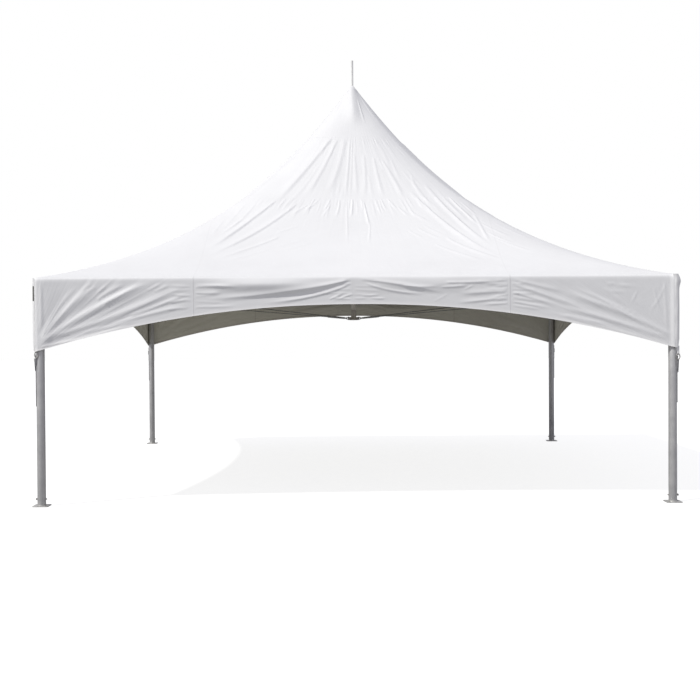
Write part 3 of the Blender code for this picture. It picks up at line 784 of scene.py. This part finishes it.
def roof_folds(side):
    """The folds of a side's roof: its long ones, and short gathers under the crown and the lap."""
    chance = random.Random(20 + SIDES[side])
    folds = like_front(FRONT_ROOF_FOLDS, side, chance)
    broad = 1.0 if side == "front" else 1.5
    for first, count, share, longest in ((CROWN_REACH, 9, 0.70, 0.40), (UPPER_REACH, 34, 0.80, 0.30)):
        for i in range(count):
            inner = first + chance.uniform(-0.02, 0.06)
            lean = share * (2 * (i + chance.uniform(0.1, 0.9)) / count - 1)
            outer = inner + chance.uniform(0.4, 1.0) * longest
            middle = (inner + outer) / 2
            wander = chance.uniform(-0.02, 0.02)
            folds.append((
                (lean * inner, inner), (lean * middle + wander, middle), (lean * outer, outer),
                chance.uniform(1.2, 3.2), broad * chance.uniform(9, 14), broad * chance.uniform(11, 18),
            ))
    return folds


def valance_folds(side):
    """The folds of a side's valance, which fan out of its lower corners and start at its welds."""
    chance = random.Random(40 + SIDES[side])
    folds = like_front(FRONT_VALANCE_FOLDS, side, chance)
    broad = 1.0 if side == "front" else 1.4
    for end in (-1, 1):
        for i in range(CORNER_CREASES):
            fan = math.radians(12 + 5 * i + chance.uniform(-3, 3))
            near, far = chance.uniform(0.15, 0.7), chance.uniform(0.9, 1.5)
            points = [
                (end * (EAVE_REACH - away * math.cos(fan)), FAN_Z + away * math.sin(fan) * FAN_SQUEEZE)
                for away in (near, (near + far) / 2, far)
            ]
            folds.append((*points, chance.uniform(1.5, 4), broad * chance.uniform(12, 18), broad * 16))
    for seam in (LEFT_SEAM, MIDDLE_SEAM, RIGHT_SEAM):
        for way in (-1, 1):
            for i in range(WELD_CREASES):
                height = LOWEST_CREASE_Z + CREASE_STEP * i + chance.uniform(-0.012, 0.012)
                length = chance.uniform(0.10, 0.32)
                tilt = chance.uniform(-0.10, 0.16) * length
                points = [
                    (seam + way * (0.015 + share * length), height + share * tilt)
                    for share in (0, 0.5, 1)
                ]
                folds.append((*points, chance.uniform(1.5, 4), broad * chance.uniform(10, 14), broad * 14))
    return folds


def grid_mesh(name, columns, rows):
    """A flat grid from Blender, with the column and the row of each of its points."""
    bm = bmesh.new()
    bmesh.ops.create_grid(bm, x_segments=columns, y_segments=rows, size=1.0)
    mesh = bpy.data.meshes.new(name)
    bm.to_mesh(mesh)
    bm.free()
    flat = np.empty(len(mesh.vertices) * 3, np.float32)
    mesh.vertices.foreach_get("co", flat)
    flat = flat.reshape(-1, 3).astype(float)
    column = np.rint((flat[:, 0] + 1) / 2 * columns).astype(int)
    row = np.rint((flat[:, 1] + 1) / 2 * rows).astype(int)
    return mesh, column, row


def outward_normals(points, upwards):
    """Unit normals of a grid of points, on the side that a direction at each point faces."""
    normal = np.cross(np.gradient(points, axis=1), np.gradient(points, axis=0))
    normal /= np.maximum(np.linalg.norm(normal, axis=-1, keepdims=True), 1e-9)
    facing = np.sign((normal * upwards).sum(-1, keepdims=True))
    return normal * facing


def cloth_piece(name, points, maps, values, replaced):
    """Lays a grid of cloth in its place, with its maps and values, and closes it to a thin sheet."""
    rows, columns = points.shape[0] - 1, points.shape[1] - 1
    mesh, column, row = grid_mesh(name, columns, rows)
    placed = points[row, column]
    mesh.vertices.foreach_set("co", placed.astype(np.float32).ravel())
    mesh.update()
    corner = np.empty(len(mesh.loops), np.int32)
    mesh.loops.foreach_get("vertex_index", corner)
    for layer_name, spread in maps.items():
        layer = mesh.uv_layers.new(name=layer_name)
        layer.data.foreach_set("uv", spread[row, column][corner].astype(np.float32).ravel())
    for value_name, value in values.items():
        layer = mesh.attributes.new(value_name, "FLOAT", "POINT")
        layer.data.foreach_set("value", value[row, column].astype(np.float32))
    tried = mesh.polygons[len(mesh.polygons) // 2]
    if Vector(tried.normal) @ (Vector(tried.center) - Vector((0, 0, 1))) < 0:
        mesh.flip_normals()
    mesh.shade_smooth()
    around = np.empty(len(mesh.loops), np.int32)
    mesh.loops.foreach_get("edge_index", around)
    border = np.bincount(around, minlength=len(mesh.edges)) == 1
    mesh.edges.foreach_set("use_edge_sharp", border)
    for finish in (CLOTH_OUTSIDE, CLOTH_INSIDE_SHADED):
        mesh.materials.append(finish)
    piece = bpy.data.objects.new(name, mesh)
    bpy.context.scene.collection.objects.link(piece)
    skin = piece.modifiers.new("thickness", "SOLIDIFY")
    skin.thickness = CLOTH_THICKNESS
    skin.offset = -1
    skin.material_offset = 1
    skin.material_offset_rim = 0
    if replaced:
        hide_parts(*replaced)
    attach(piece, "root")
    return piece


def cloth_material(name, colour, shade, edge, weld_shade_tone):
    """Coated cloth: welds a little raised and painted a little darker, more on the valance than on the
    roof, as a painted shade along each weld; a doubled hem with a stitched edge; fine creases that run
    the way the cloth is pulled, most where it is slack, and a fine weave."""
    made, tree, shader = shader_of(name)
    laid = add_node(tree, "ShaderNodeUVMap", uv_map="cloth").outputs[0]
    split = add_node(tree, "ShaderNodeSeparateXYZ", {"Vector": laid}).outputs
    weld = 0.0
    for seam, depth in ((LEFT_SEAM, 0.8), (MIDDLE_SEAM, 0.15), (RIGHT_SEAM, 0.8)):
        off = math_node(tree, "ABSOLUTE", math_node(tree, "ADD", split["X"], -seam))
        strip = ranged(tree, off, SEAM_HALF - 3 * MM, SEAM_HALF + MM, depth, 0.0)
        weld = math_node(tree, "MAXIMUM", weld, strip)
    weld = math_node(tree, "MULTIPLY", weld, ranged(tree, split["Y"], ROOF_PART, HUNG_PART, 0.30, 1.0))
    hem = add_node(tree, "ShaderNodeAttribute", attribute_name="hem").outputs["Fac"]
    hemmed = ranged(tree, hem, HEM_WIDTH - 2 * MM, HEM_WIDTH + MM, 1.0, 0.0)
    from_stitches = math_node(tree, "ABSOLUTE", math_node(tree, "ADD", hem, -STITCH_UP))
    stitch_row = ranged(tree, from_stitches, MM, 3 * MM, 1.0, 0.0)
    slack = add_node(tree, "ShaderNodeAttribute", attribute_name="slack").outputs["Fac"]
    pulled = add_node(tree, "ShaderNodeUVMap", uv_map="pull").outputs[0]
    drawn = add_node(tree, "ShaderNodeVectorMath", {0: pulled, 1: (30.0, 1.3, 1.0)}, operation="MULTIPLY")
    streak = noise(tree, drawn.outputs[0], 1.0, Detail=3.0, Roughness=0.5, Distortion=0.3)
    place = add_node(tree, "ShaderNodeTexCoord").outputs["Object"]
    cloud = noise(tree, place, 1.7, Detail=4.0)
    crinkle = noise(tree, place, 7.0, Detail=5.0)
    weave = noise(tree, place, 260.0, Detail=2.0)
    tone = mixed(tree, ranged(tree, cloud, 0.45, 0.85, 0.0, 0.5), colour, shade)
    # Welds are mixed toward the shade colour: a painted shade along each weld, fainter on the roof.
    tone = mixed(tree, math_node(tree, "MULTIPLY", weld, weld_shade_tone), tone, shade)
    tone = mixed(tree, math_node(tree, "MULTIPLY", hemmed, 0.6), tone, edge)
    height = math_node(tree, "MULTIPLY", math_node(tree, "MULTIPLY", slack, streak), 5.0)
    height = math_node(tree, "MULTIPLY_ADD", crinkle, 2.6, height)
    height = math_node(tree, "MULTIPLY_ADD", weld, 1.4, math_node(tree, "MULTIPLY_ADD", hemmed, 0.3, height))
    height = math_node(tree, "MULTIPLY_ADD", stitch_row, -0.3, height)
    height = math_node(tree, "MULTIPLY_ADD", weave, 0.12, height)
    surface(tree, shader, tone, ranged(tree, crinkle, 0.3, 0.7, 0.42, 0.56), height, 1.0, MM)
    shader.inputs["Specular IOR Level"].default_value = 0.10
    return made


CLOTH_WHITE = (0.87, 0.875, 0.885)
# The hem is painted a little whiter than the cloth: a painted highlight along the hem.
HEM_HIGHLIGHT_WHITE = (0.90, 0.90, 0.90)
CLOTH_OUTSIDE = cloth_material("coated_cloth", CLOTH_WHITE, (0.80, 0.80, 0.81), HEM_HIGHLIGHT_WHITE, 0.9)
# The inner face: a darker, browner copy of the cloth, partly painted shade for the inside of the cover.
CLOTH_INSIDE_SHADED = cloth_material("cloth_inside_shaded", (0.81, 0.79, 0.69), (0.66, 0.62, 0.54), (0.64, 0.61, 0.54), 0.7)

# Each side is laid as two sheets, from a corner to the middle weld, down the roof, over the beam
# and down the valance. Its columns stand closer at the corner, and its rows at the beam and hem.
FRONT_GRID, SIDE_GRID = (305, 112, 36), (130, 78, 26)
WRAP_ROWS = 7
EDGE_POWER = 0.6
HEM_ROWS = 5
EAVE_FADE_ROWS = 12
CORNER_FADE = 0.02
HEM_DEPTH = 0.035
HEM_LIP, HEM_LIP_DEPTH = 0.0022, 0.014
CORNER_SHARE = 0.028
CORNER_COLUMNS = 8
CORNER_RISES = {-1: (0.017, 0.260, 0.042), 1: (0.015, 0.045, 0.046)}
LEFT_BULGE, RIGHT_BULGE = 0.034, 0.012
BULGE_TOP_Z, BULGE_MIDDLE_Z, BULGE_END_Z = 2.175, 2.090, 1.990
FAN_START = 0.05
LEAST_SLACK, LAP_SLACK, CORNER_SLACK = 0.30, 0.60, 0.65
LAP_SLACK_REACH, CORNER_SLACK_REACH = 0.25, 1.2


def half_columns(count):
    """How far each column stands on the way from the corner to the middle weld."""
    bend = np.linspace(0, CORNER_SHARE, CORNER_COLUMNS + 1)
    straight = np.linspace(CORNER_SHARE, 1, count - CORNER_COLUMNS + 1)[1:]
    return np.concatenate([bend, straight])


def eave_bulge(place, z):
    """How far the cloth hangs out over the beam, between the welds that hold it tight."""
    span = np.zeros_like(place)
    for first, last, bulge in ((LEFT_SEAM, MIDDLE_SEAM, LEFT_BULGE), (MIDDLE_SEAM, RIGHT_SEAM, RIGHT_BULGE)):
        share = np.clip((place - first) / (last - first), 0, 1)
        span += bulge * np.sin(np.pi * share ** 0.85) ** 2
    rising = eased((BULGE_TOP_Z - z) / (BULGE_TOP_Z - BULGE_MIDDLE_Z))
    falling = eased((z - BULGE_END_Z) / (BULGE_MIDDLE_Z - BULGE_END_Z))
    return span * rising * falling


def valance_arch(place):
    """Height of the hem along a side."""
    drop = np.abs(place / EAVE_REACH) ** VALANCE_POWER
    return VALANCE_MIDDLE_Z - (VALANCE_MIDDLE_Z - VALANCE_CORNER_Z) * drop


def side_sheet(side, end):
    """Half of a side of the cover, from its left or right corner to the middle weld."""
    columns, roof_rows, valance_rows = FRONT_GRID if side == "front" else SIDE_GRID
    share = half_columns(columns)
    rows = roof_rows + WRAP_ROWS + valance_rows
    points = np.zeros((rows + 1, columns + 1, 3))
    facing = np.zeros_like(points)
    level = np.zeros((rows + 1, columns + 1))
    wrap_start = EAVE_REACH - CLOTH_WRAP + CLOTH_WRAP * math.sin(EAVE_SLOPE)
    wrap_z = beam_z + CLOTH_WRAP * math.cos(EAVE_SLOPE)

    def angles(reach):
        """The direction of each column from the mast, at a reach."""
        return np.arctan(end + (MIDDLE_SEAM / reach - end) * share)

    for i in range(roof_rows + 1):
        reach = UPPER_REACH - LAP + (wrap_start - UPPER_REACH + LAP) * i / roof_rows
        points[i] = roof_surface(np.full_like(share, reach), angles(reach))
        facing[i] = (0, 0, 1)
        level[i] = reach
    for i in range(1, WRAP_ROWS + 1):
        turn = EAVE_SLOPE + (math.pi / 2 - EAVE_SLOPE) * i / WRAP_ROWS
        above = 1 - math.sin(math.pi / 2 * i / WRAP_ROWS) ** EDGE_POWER
        below = 1 - math.cos(math.pi / 2 * i / WRAP_ROWS) ** EDGE_POWER
        reach = EAVE_REACH - (EAVE_REACH - wrap_start) * above
        angle = angles(reach)
        radius, _ = outline_radius(reach, angle, SHARPEST_CORNER)
        direction = np.stack([np.sin(angle), -np.cos(angle)], axis=-1)
        row = roof_rows + i
        points[row, :, :2] = direction * radius[:, None]
        points[row, :, 2] = EAVE_Z + (wrap_z - EAVE_Z) * above + (beam_z - EAVE_Z) * below
        facing[row, :, :2] = direction
        facing[row, :, 2] = math.cos(turn)
        level[row] = points[row, :, 2]
    angle = angles(EAVE_REACH)
    direction = np.stack([np.sin(angle), -np.cos(angle)], axis=-1)
    edge = direction * outline_radius(EAVE_REACH, angle, SHARPEST_CORNER)[0][:, None]
    arch = valance_arch(edge[:, 0])
    upper = valance_rows - HEM_ROWS
    for i in range(1, valance_rows + 1):
        row = roof_rows + WRAP_ROWS + i
        points[row, :, :2] = edge
        if i <= upper:
            points[row, :, 2] = beam_z + (arch + HEM_DEPTH - beam_z) * i / upper
        else:
            points[row, :, 2] = arch + HEM_DEPTH * (valance_rows - i) / HEM_ROWS
        facing[row, :, :2] = direction
        level[row] = points[row, :, 2]
    normal = outward_normals(points, facing)
    place = np.stack([points[..., 0], level], axis=-1)
    roof_part = slice(0, roof_rows + 1)
    hung_part = slice(roof_rows + 1, rows + 1)
    heights = np.zeros(level.shape)
    for part, folds, shade in (
        (roof_part, roof_folds(side), ROOF_SHADE), (hung_part, valance_folds(side), VALANCE_SHADE),
    ):
        spots = place[part].reshape(-1, 2)
        heights[part] = fold_heights(spots, folds, shade).reshape(heights[part].shape)
    past_eave = np.arange(rows + 1)[:, None] - roof_rows
    above_eave = np.clip(-past_eave / EAVE_FADE_ROWS, 0, 1)
    under_eave = np.clip((past_eave - 1) / WRAP_ROWS, 0, 1)
    heights *= np.where(past_eave <= 0, above_eave, under_eave) * eased(share / CORNER_FADE)
    aside = np.abs(place[..., 0])
    if side == "front":
        rise, climb, fall = CORNER_RISES[end]
        rising = eased((aside - EAVE_REACH + climb + fall) / climb) * eased((EAVE_REACH - aside) / fall)
        heights += rise * rising * eased(past_eave / WRAP_ROWS)
    heights[roof_part] -= LAP_TUCK * eased((UPPER_REACH + LAP_EDGE - level[roof_part]) / LAP_EDGE)
    heights += HEM_LIP * np.clip(1 - (level - arch) / HEM_LIP_DEPTH, 0, 1)
    points += normal * heights[..., None]
    hung = points[hung_part]
    hung[..., 1] -= eave_bulge(hung[..., 0], hung[..., 2])
    laid = np.stack([points[..., 0], np.full(level.shape, ROOF_PART)], axis=-1)
    laid[hung_part, :, 1] = HUNG_PART
    aside_from, up_from = EAVE_REACH - aside, level - VALANCE_CORNER_Z
    corner_away = np.hypot(aside_from, up_from)
    corner_turn = np.arctan2(up_from + FAN_START, aside_from + FAN_START)
    pull = np.stack([place[..., 0] / level, level], axis=-1)
    pull[hung_part] = np.stack([corner_turn, corner_away], axis=-1)[hung_part]
    slack = LEAST_SLACK + LAP_SLACK * np.exp(-np.maximum(level - UPPER_REACH, 0) / LAP_SLACK_REACH)
    slack[hung_part] = (LEAST_SLACK + CORNER_SLACK * np.exp(-corner_away / CORNER_SLACK_REACH))[hung_part]
    hem = np.ones(level.shape)
    hem[-valance_rows:] = points[-valance_rows:, :, 2] - arch[None, :]
    points = points @ np.array(side_turn(SIDES[side]).to_3x3()).T
    half = "left" if end < 0 else "right"
    return cloth_piece(
        f"cloth_{side}_{half}", points, {"cloth": laid, "pull": pull}, {"hem": hem, "slack": slack},
        ["roof_" + side, "valance_" + side],
    )


for side in SIDES:
    for end in (-1, 1):
        side_sheet(side, end)

# Top of the cover: a ring of cloth from the lap weld up to the crown, and the crown, a second layer
# that takes the wear of the mast head. Each lies over the one below it, to shed the rain.
RING_COLUMNS = {"front": 140, "right": 70, "back": 70, "left": 70}
RING_ROWS = 62
CROWN_COLUMNS = {"front": 80, "right": 30, "back": 30, "left": 30}
CROWN_ROWS = 32
HIP_FADE = 0.10
FOLD_START = 0.040


def ring_sheet(name, reaches, columns, folds_of, tucked, replaced):
    """A band of cloth round the mast, between the first and the last of its reaches."""
    angle = np.concatenate([
        np.linspace(-np.pi / 4, np.pi / 4, count + 1)[:-1] for count in columns.values()
    ])
    quarter = np.concatenate([np.full(count, SIDES[side]) for side, count in columns.items()])
    angle, quarter = np.append(angle, -np.pi / 4), np.append(quarter, 0)
    points = np.stack([roof_surface(np.full_like(angle, reach), angle) for reach in reaches])
    level = np.broadcast_to(np.array(reaches)[:, None], points.shape[:2])
    place = np.stack([points[..., 0], level], axis=-1)
    heights = np.zeros(level.shape)
    for side, number in SIDES.items():
        here = quarter == number
        spots = place[:, here].reshape(-1, 2)
        heights[:, here] = fold_heights(spots, folds_of(side), ROOF_SHADE).reshape(-1, here.sum())
    tuck = LAP_TUCK * eased((CROWN_REACH - level) / LAP_EDGE) * tucked
    fade = eased((level - CROWN_REACH) / FOLD_START) if tucked else 1
    heights = heights * fade * eased((np.pi / 4 - np.abs(angle)) / HIP_FADE) + LAP_LIFT - tuck
    turns = np.stack([np.array(side_turn(number).to_3x3()) for number in quarter])
    points = np.einsum("cij,rcj->rci", turns, points)
    normal = outward_normals(points, np.broadcast_to(np.array([0.0, 0.0, 1.0]), points.shape))
    normal[:, -1] = normal[:, 0] = (normal[:, 0] + normal[:, -1]) / 2
    points = points + normal * heights[..., None]
    laid = np.stack([place[..., 0], np.abs(level - reaches[0])], axis=-1)
    pull = np.stack([place[..., 0] / place[..., 1], place[..., 1]], axis=-1)
    slack = LEAST_SLACK + LAP_SLACK * np.exp(-(level - CROWN_REACH) / LAP_SLACK_REACH) * (level > CROWN_REACH)
    return cloth_piece(
        name, points, {"cloth": laid, "pull": pull}, {"hem": np.ones(level.shape), "slack": slack},
        replaced,
    )


def crown_folds(side):
    """The crown is a flat double layer, with only the creases that its front shows."""
    return FRONT_CROWN_FOLDS if side == "front" else ()


ring_sheet(
    "cloth_upper", np.linspace(UPPER_REACH + LAP_EDGE, CROWN_REACH - LAP, RING_ROWS + 1), RING_COLUMNS,
    roof_folds, True, [],
)
ring_sheet(
    "cloth_crown", np.linspace(CROWN_REACH, SPIRE_RADIUS + 0.001, CROWN_ROWS + 1), CROWN_COLUMNS,
    crown_folds, False, ["canopy_crown"],
)

# Corner ties: grey webbing sewn to each lower corner of the cloth, through a steel ring and a
# buckle, and down the outer side of the leg.
WEBBING_LIGHT, WEBBING_DARK = (0.30, 0.30, 0.31), (0.20, 0.20, 0.21)


def webbing_material():
    """Ribbed webbing, a little uneven in tone."""
    made, tree, shader = shader_of("tie_webbing")
    place = add_node(tree, "ShaderNodeTexCoord").outputs["Object"]
    rib = add_node(
        tree, "ShaderNodeTexWave", {"Vector": place, "Scale": 120.0, "Distortion": 1.0}, bands_direction="Z",
    )
    tone = mixed(tree, noise(tree, place, 30.0), WEBBING_LIGHT, WEBBING_DARK)
    surface(tree, shader, tone, 0.8, rib.outputs["Fac"], 0.6, MM)
    return made


WEBBING = webbing_material()
for name in CORNERS:
    bm = tidy_copy("corner_strap_" + name)
    soften(bm, 0.0006)
    finished("corner_tie_" + name, bm, WEBBING, ["corner_strap_" + name])

# Corner strips: where two valances meet, their edges are closed by a padded strip of the same cloth,
# sewn on flat. On the left it is laced through a slot near the eave, whose faces are painted near
# black: a painted shadow in the slot. From the foot of the two in front hangs a tab with an oval
# ring, and a dark tapered tail of webbing down the leg, partly a loose end of the tie and partly a
# painted shadow on the leg.
CLOTH_PLAIN = cloth_material("strip_cloth", CLOTH_WHITE, (0.82, 0.82, 0.83), HEM_HIGHLIGHT_WHITE, 0.0)
# The lace slot's finish is near black: a painted shadow inside the shallow slot.
SLOT_SHADOW_DARK = (0.10, 0.10, 0.09)
CLOTH_SLOT_SHADOW = cloth_material("slot_shadow", SLOT_SHADOW_DARK, (0.07, 0.07, 0.06), SLOT_SHADOW_DARK, 0.0)
STRIP_SHAPES = {
    "left": {"inset": (0.001, 0.014), "turn": 49, "half_width": 0.0210, "bulge": 0.006, "top": 2.166},
    "right": {"inset": (0.026, -0.006), "turn": 12, "half_width": 0.0265, "bulge": 0.008, "top": 2.174},
}
STRIP_BACK = 0.004
STRIP_FOOT_Z = 1.478
STRIP_SIDES, STRIP_STEPS = 28, 72
FOOT_FULLNESS, GATHER_SHARE = 0.55, 0.12
PUCKER, RIPPLE = 0.04, 0.10
SLOTTED_NARROWING, SLOTTED_SWELL, TUFT_SWELL = 0.45, 0.5, 0.9
LACE_SLOT = (1.947, 2.094)
SLOT_START, LACE_SLOT_DEPTH = -0.70, 0.002
TUFT_Z, TUFT_SPREAD, TUFT_WIDTH = 2.106, 0.045, 0.016
CURL_START_Z, CURL_LEAN = 2.110, 0.012
RING_PLACES = {"left": (3.037, 3.050, 1.440), "right": (3.050, 3.056, 1.388)}
RING_RADIUS, RING_WIRE, RING_STRETCH = 0.0165, 0.0046, 1.6
TAB_WIDTH, TAB_THICKNESS, TAB_TOP_Z, TAB_PAST_RING = 0.022, 0.004, 1.492, 0.014
# The tail is dark webbing down the front of each front leg: partly a loose end of the tie and partly a
# painted shadow on the leg.
TAIL_WIDTH, TAIL_LENGTH, TAIL_TIP, TAIL_THICKNESS, TAIL_BEHIND = 0.033, 0.118, 0.15, 0.003, 0.004
TAIL_X = leg_line + LEG_RADIUS + 0.010 - TAIL_WIDTH / 2


def add_strip(bm, shape, slotted, chance):
    """A padded strip: flat behind, full in front, gathered at its foot and curled over on top."""
    lean = chance.uniform(0, math.tau)
    bmesh.ops.create_cone(
        bm, cap_ends=True, cap_tris=True, segments=STRIP_SIDES, radius1=1.0, radius2=1.0, depth=1.0,
    )
    upright = [edge for edge in bm.edges if abs(edge.verts[0].co.z - edge.verts[1].co.z) > 0.5]
    bmesh.ops.subdivide_edges(bm, edges=upright, cuts=STRIP_STEPS, use_grid_fill=True)
    for vert in bm.verts:
        angle = math.atan2(vert.co.y, vert.co.x)
        share = 0.5 + vert.co.z
        z = STRIP_FOOT_Z + (shape["top"] - STRIP_FOOT_Z) * share
        fullness = FOOT_FULLNESS + (1 - FOOT_FULLNESS) * min(1.0, share / GATHER_SHARE)
        fullness += PUCKER * math.sin(5 * angle + 9 * share + lean)
        full = shape["bulge"] if vert.co.y > 0 else STRIP_BACK
        along = shape["half_width"] * vert.co.x * fullness
        outward = full * vert.co.y * abs(vert.co.y) * (fullness + RIPPLE * math.sin(23 * share + lean))
        tuft = math.exp(-((z - TUFT_Z) / TUFT_SPREAD) ** 2)
        curl = max(0.0, z - CURL_START_Z) / (shape["top"] - CURL_START_Z)
        if slotted:
            along *= 1 - SLOTTED_NARROWING * curl
            outward *= 1 + SLOTTED_SWELL * curl
            if LACE_SLOT[0] < z < LACE_SLOT[1] and vert.co.y > 0 and vert.co.x > SLOT_START:
                outward -= LACE_SLOT_DEPTH
        else:
            along += TUFT_WIDTH * tuft * max(0.0, vert.co.x) - CURL_LEAN * curl ** 2
            outward *= 1 + TUFT_SWELL * tuft
        vert.co = (along, outward, z)
    # Faces in the lace slot take the near-black finish, a painted shadow in the slot.
    for face in bm.faces:
        middle = face.calc_center_median()
        beside = middle.x > SLOT_START * shape["half_width"]
        face.material_index = int(slotted and beside and LACE_SLOT[0] < middle.z < LACE_SLOT[1])


for number, (name, (x_side, y_side)) in enumerate(CORNERS.items()):
    hand = name.split("_")[1]
    shape = STRIP_SHAPES[hand]
    turn = math.radians(shape["turn"])
    bm = bmesh.new()
    add_strip(bm, shape, hand == "left", random.Random(60 + number))
    outward = Vector((x_side * math.sin(turn), y_side * math.cos(turn), 0))
    sideways = Vector((x_side * math.cos(turn), -y_side * math.sin(turn), 0))
    frame_of_corner = Matrix((sideways, outward, (0, 0, 1))).transposed().to_4x4()
    inset_x, inset_y = shape["inset"]
    middle = Vector((x_side * (EAVE_REACH - inset_x), y_side * (EAVE_REACH - inset_y), 0))
    bmesh.ops.transform(bm, matrix=Matrix.Translation(middle) @ frame_of_corner, verts=bm.verts[:])
    strip = finished("corner_strip_" + name, bm, CLOTH_PLAIN)
    strip.data.materials.append(CLOTH_SLOT_SHADOW)
    if y_side > 0:
        continue
    ring_x, ring_y, ring_z = RING_PLACES[hand]
    ring_at = Vector((x_side * ring_x, y_side * ring_y, ring_z))
    bm = bmesh.new()
    upright = Matrix.Diagonal((1, 1, RING_STRETCH, 1)) @ pointing((0, 1, 0), (0, 0, 0))
    add_ring(bm, RING_RADIUS, RING_WIRE, 32, 8, Matrix.Translation(ring_at) @ upright)
    finished("corner_ring_" + name, bm, PIN_METAL)
    bm = bmesh.new()
    tab_length = TAB_TOP_Z - ring_z - TAB_PAST_RING
    tab_at = Matrix.Translation((ring_at.x, ring_at.y, TAB_TOP_Z - tab_length / 2))
    add_block(bm, (TAB_WIDTH, TAB_THICKNESS, tab_length), tab_at, 0.0012)
    finished("corner_tab_" + name, bm, CLOTH_PLAIN)
    # The dark tail: partly a loose end of the tie, partly a painted shadow down the leg.
    bm = bmesh.new()
    add_block(bm, (TAIL_WIDTH, TAIL_THICKNESS, TAIL_LENGTH), Matrix.Identity(4), 0.0008)
    for vert in bm.verts:
        narrow = 1 - (1 - TAIL_TIP) * (0.5 - vert.co.z / TAIL_LENGTH)
        vert.co.x = x_side * TAIL_WIDTH / 4 + (vert.co.x - x_side * TAIL_WIDTH / 4) * narrow
    tail_z = ring_z - RING_STRETCH * (RING_RADIUS + RING_WIRE) - TAIL_LENGTH / 2
    tail_at = (x_side * TAIL_X, ring_at.y - y_side * TAIL_BEHIND, tail_z)
    bmesh.ops.translate(bm, vec=tail_at, verts=bm.verts[:])
    tail = finished("corner_tail_and_shadow_" + name, bm, WEBBING)

# Studio: a plain white floor and backdrop light, a high sun from the front left, and the camera
# where the photograph was taken from.
CAMERA_PLACE = (-0.140, -13.352, 1.604)
CAMERA_PAN = -0.0070
CAMERA_TILT = -0.0131
CAMERA_ROLL = -0.0059
FOCAL_PIXELS = 1086.3
PICTURE_PIXELS = 700
SENSOR = 36.0
FLOOR_GREY, FLOOR_GLOW = (0.36, 0.36, 0.36, 1), 0.82
SKY_TONE = (0.453, 0.453, 0.500)
BACKDROP_WHITE = (1.0, 1.0, 1.0)
SUN_ENERGY, SUN_SPREAD = 2.40, 2.0
SUN_TONE = (1.0, 0.985, 0.94)
SUN_FROM = (-0.58, -0.345, 0.74)

camera_data = bpy.data.cameras.new("view")
camera_data.sensor_fit = "HORIZONTAL"
camera_data.sensor_width = SENSOR
camera_data.lens = SENSOR * FOCAL_PIXELS / PICTURE_PIXELS
camera = bpy.data.objects.new("view", camera_data)
camera.matrix_world = (
    Matrix.Translation(CAMERA_PLACE)
    @ Matrix.Rotation(CAMERA_PAN, 4, "Z")
    @ Matrix.Rotation(math.pi / 2 + CAMERA_TILT, 4, "X")
    @ Matrix.Rotation(CAMERA_ROLL, 4, "Z")
)
bpy.context.scene.collection.objects.link(camera)
bpy.context.scene.camera = camera

bm = bmesh.new()
bmesh.ops.create_grid(bm, x_segments=1, y_segments=1, size=60.0)
mesh = bpy.data.meshes.new("floor")
bm.to_mesh(mesh)
bm.free()
floor = bpy.data.objects.new("floor", mesh)
bpy.context.scene.collection.objects.link(floor)
made, tree, shader = shader_of("floor_white")
seen = add_node(tree, "ShaderNodeLightPath").outputs["Is Camera Ray"]
set_inputs(tree, shader, {
    "Base Color": FLOOR_GREY, "Roughness": 0.9, "Specular IOR Level": 0.0,
    "Emission Color": (*BACKDROP_WHITE, 1),
    "Emission Strength": math_node(tree, "MULTIPLY", seen, FLOOR_GLOW),
})
mesh.materials.append(made)

world = bpy.data.worlds.new("studio")
world.use_nodes = True
tree = world.node_tree
seen = add_node(tree, "ShaderNodeLightPath").outputs["Is Camera Ray"]
set_inputs(tree, tree.nodes["Background"], {"Color": mixed(tree, seen, SKY_TONE, BACKDROP_WHITE)})
bpy.context.scene.world = world

sun_data = bpy.data.lights.new("sun", "SUN")
sun_data.energy = SUN_ENERGY
sun_data.angle = math.radians(SUN_SPREAD)
sun_data.color = SUN_TONE
sun = bpy.data.objects.new("sun", sun_data)
sun.matrix_world = Vector(SUN_FROM).to_track_quat("Z", "Y").to_matrix().to_4x4()
bpy.context.scene.collection.objects.link(sun)
bpy.context.scene.view_settings.view_transform = "Standard"
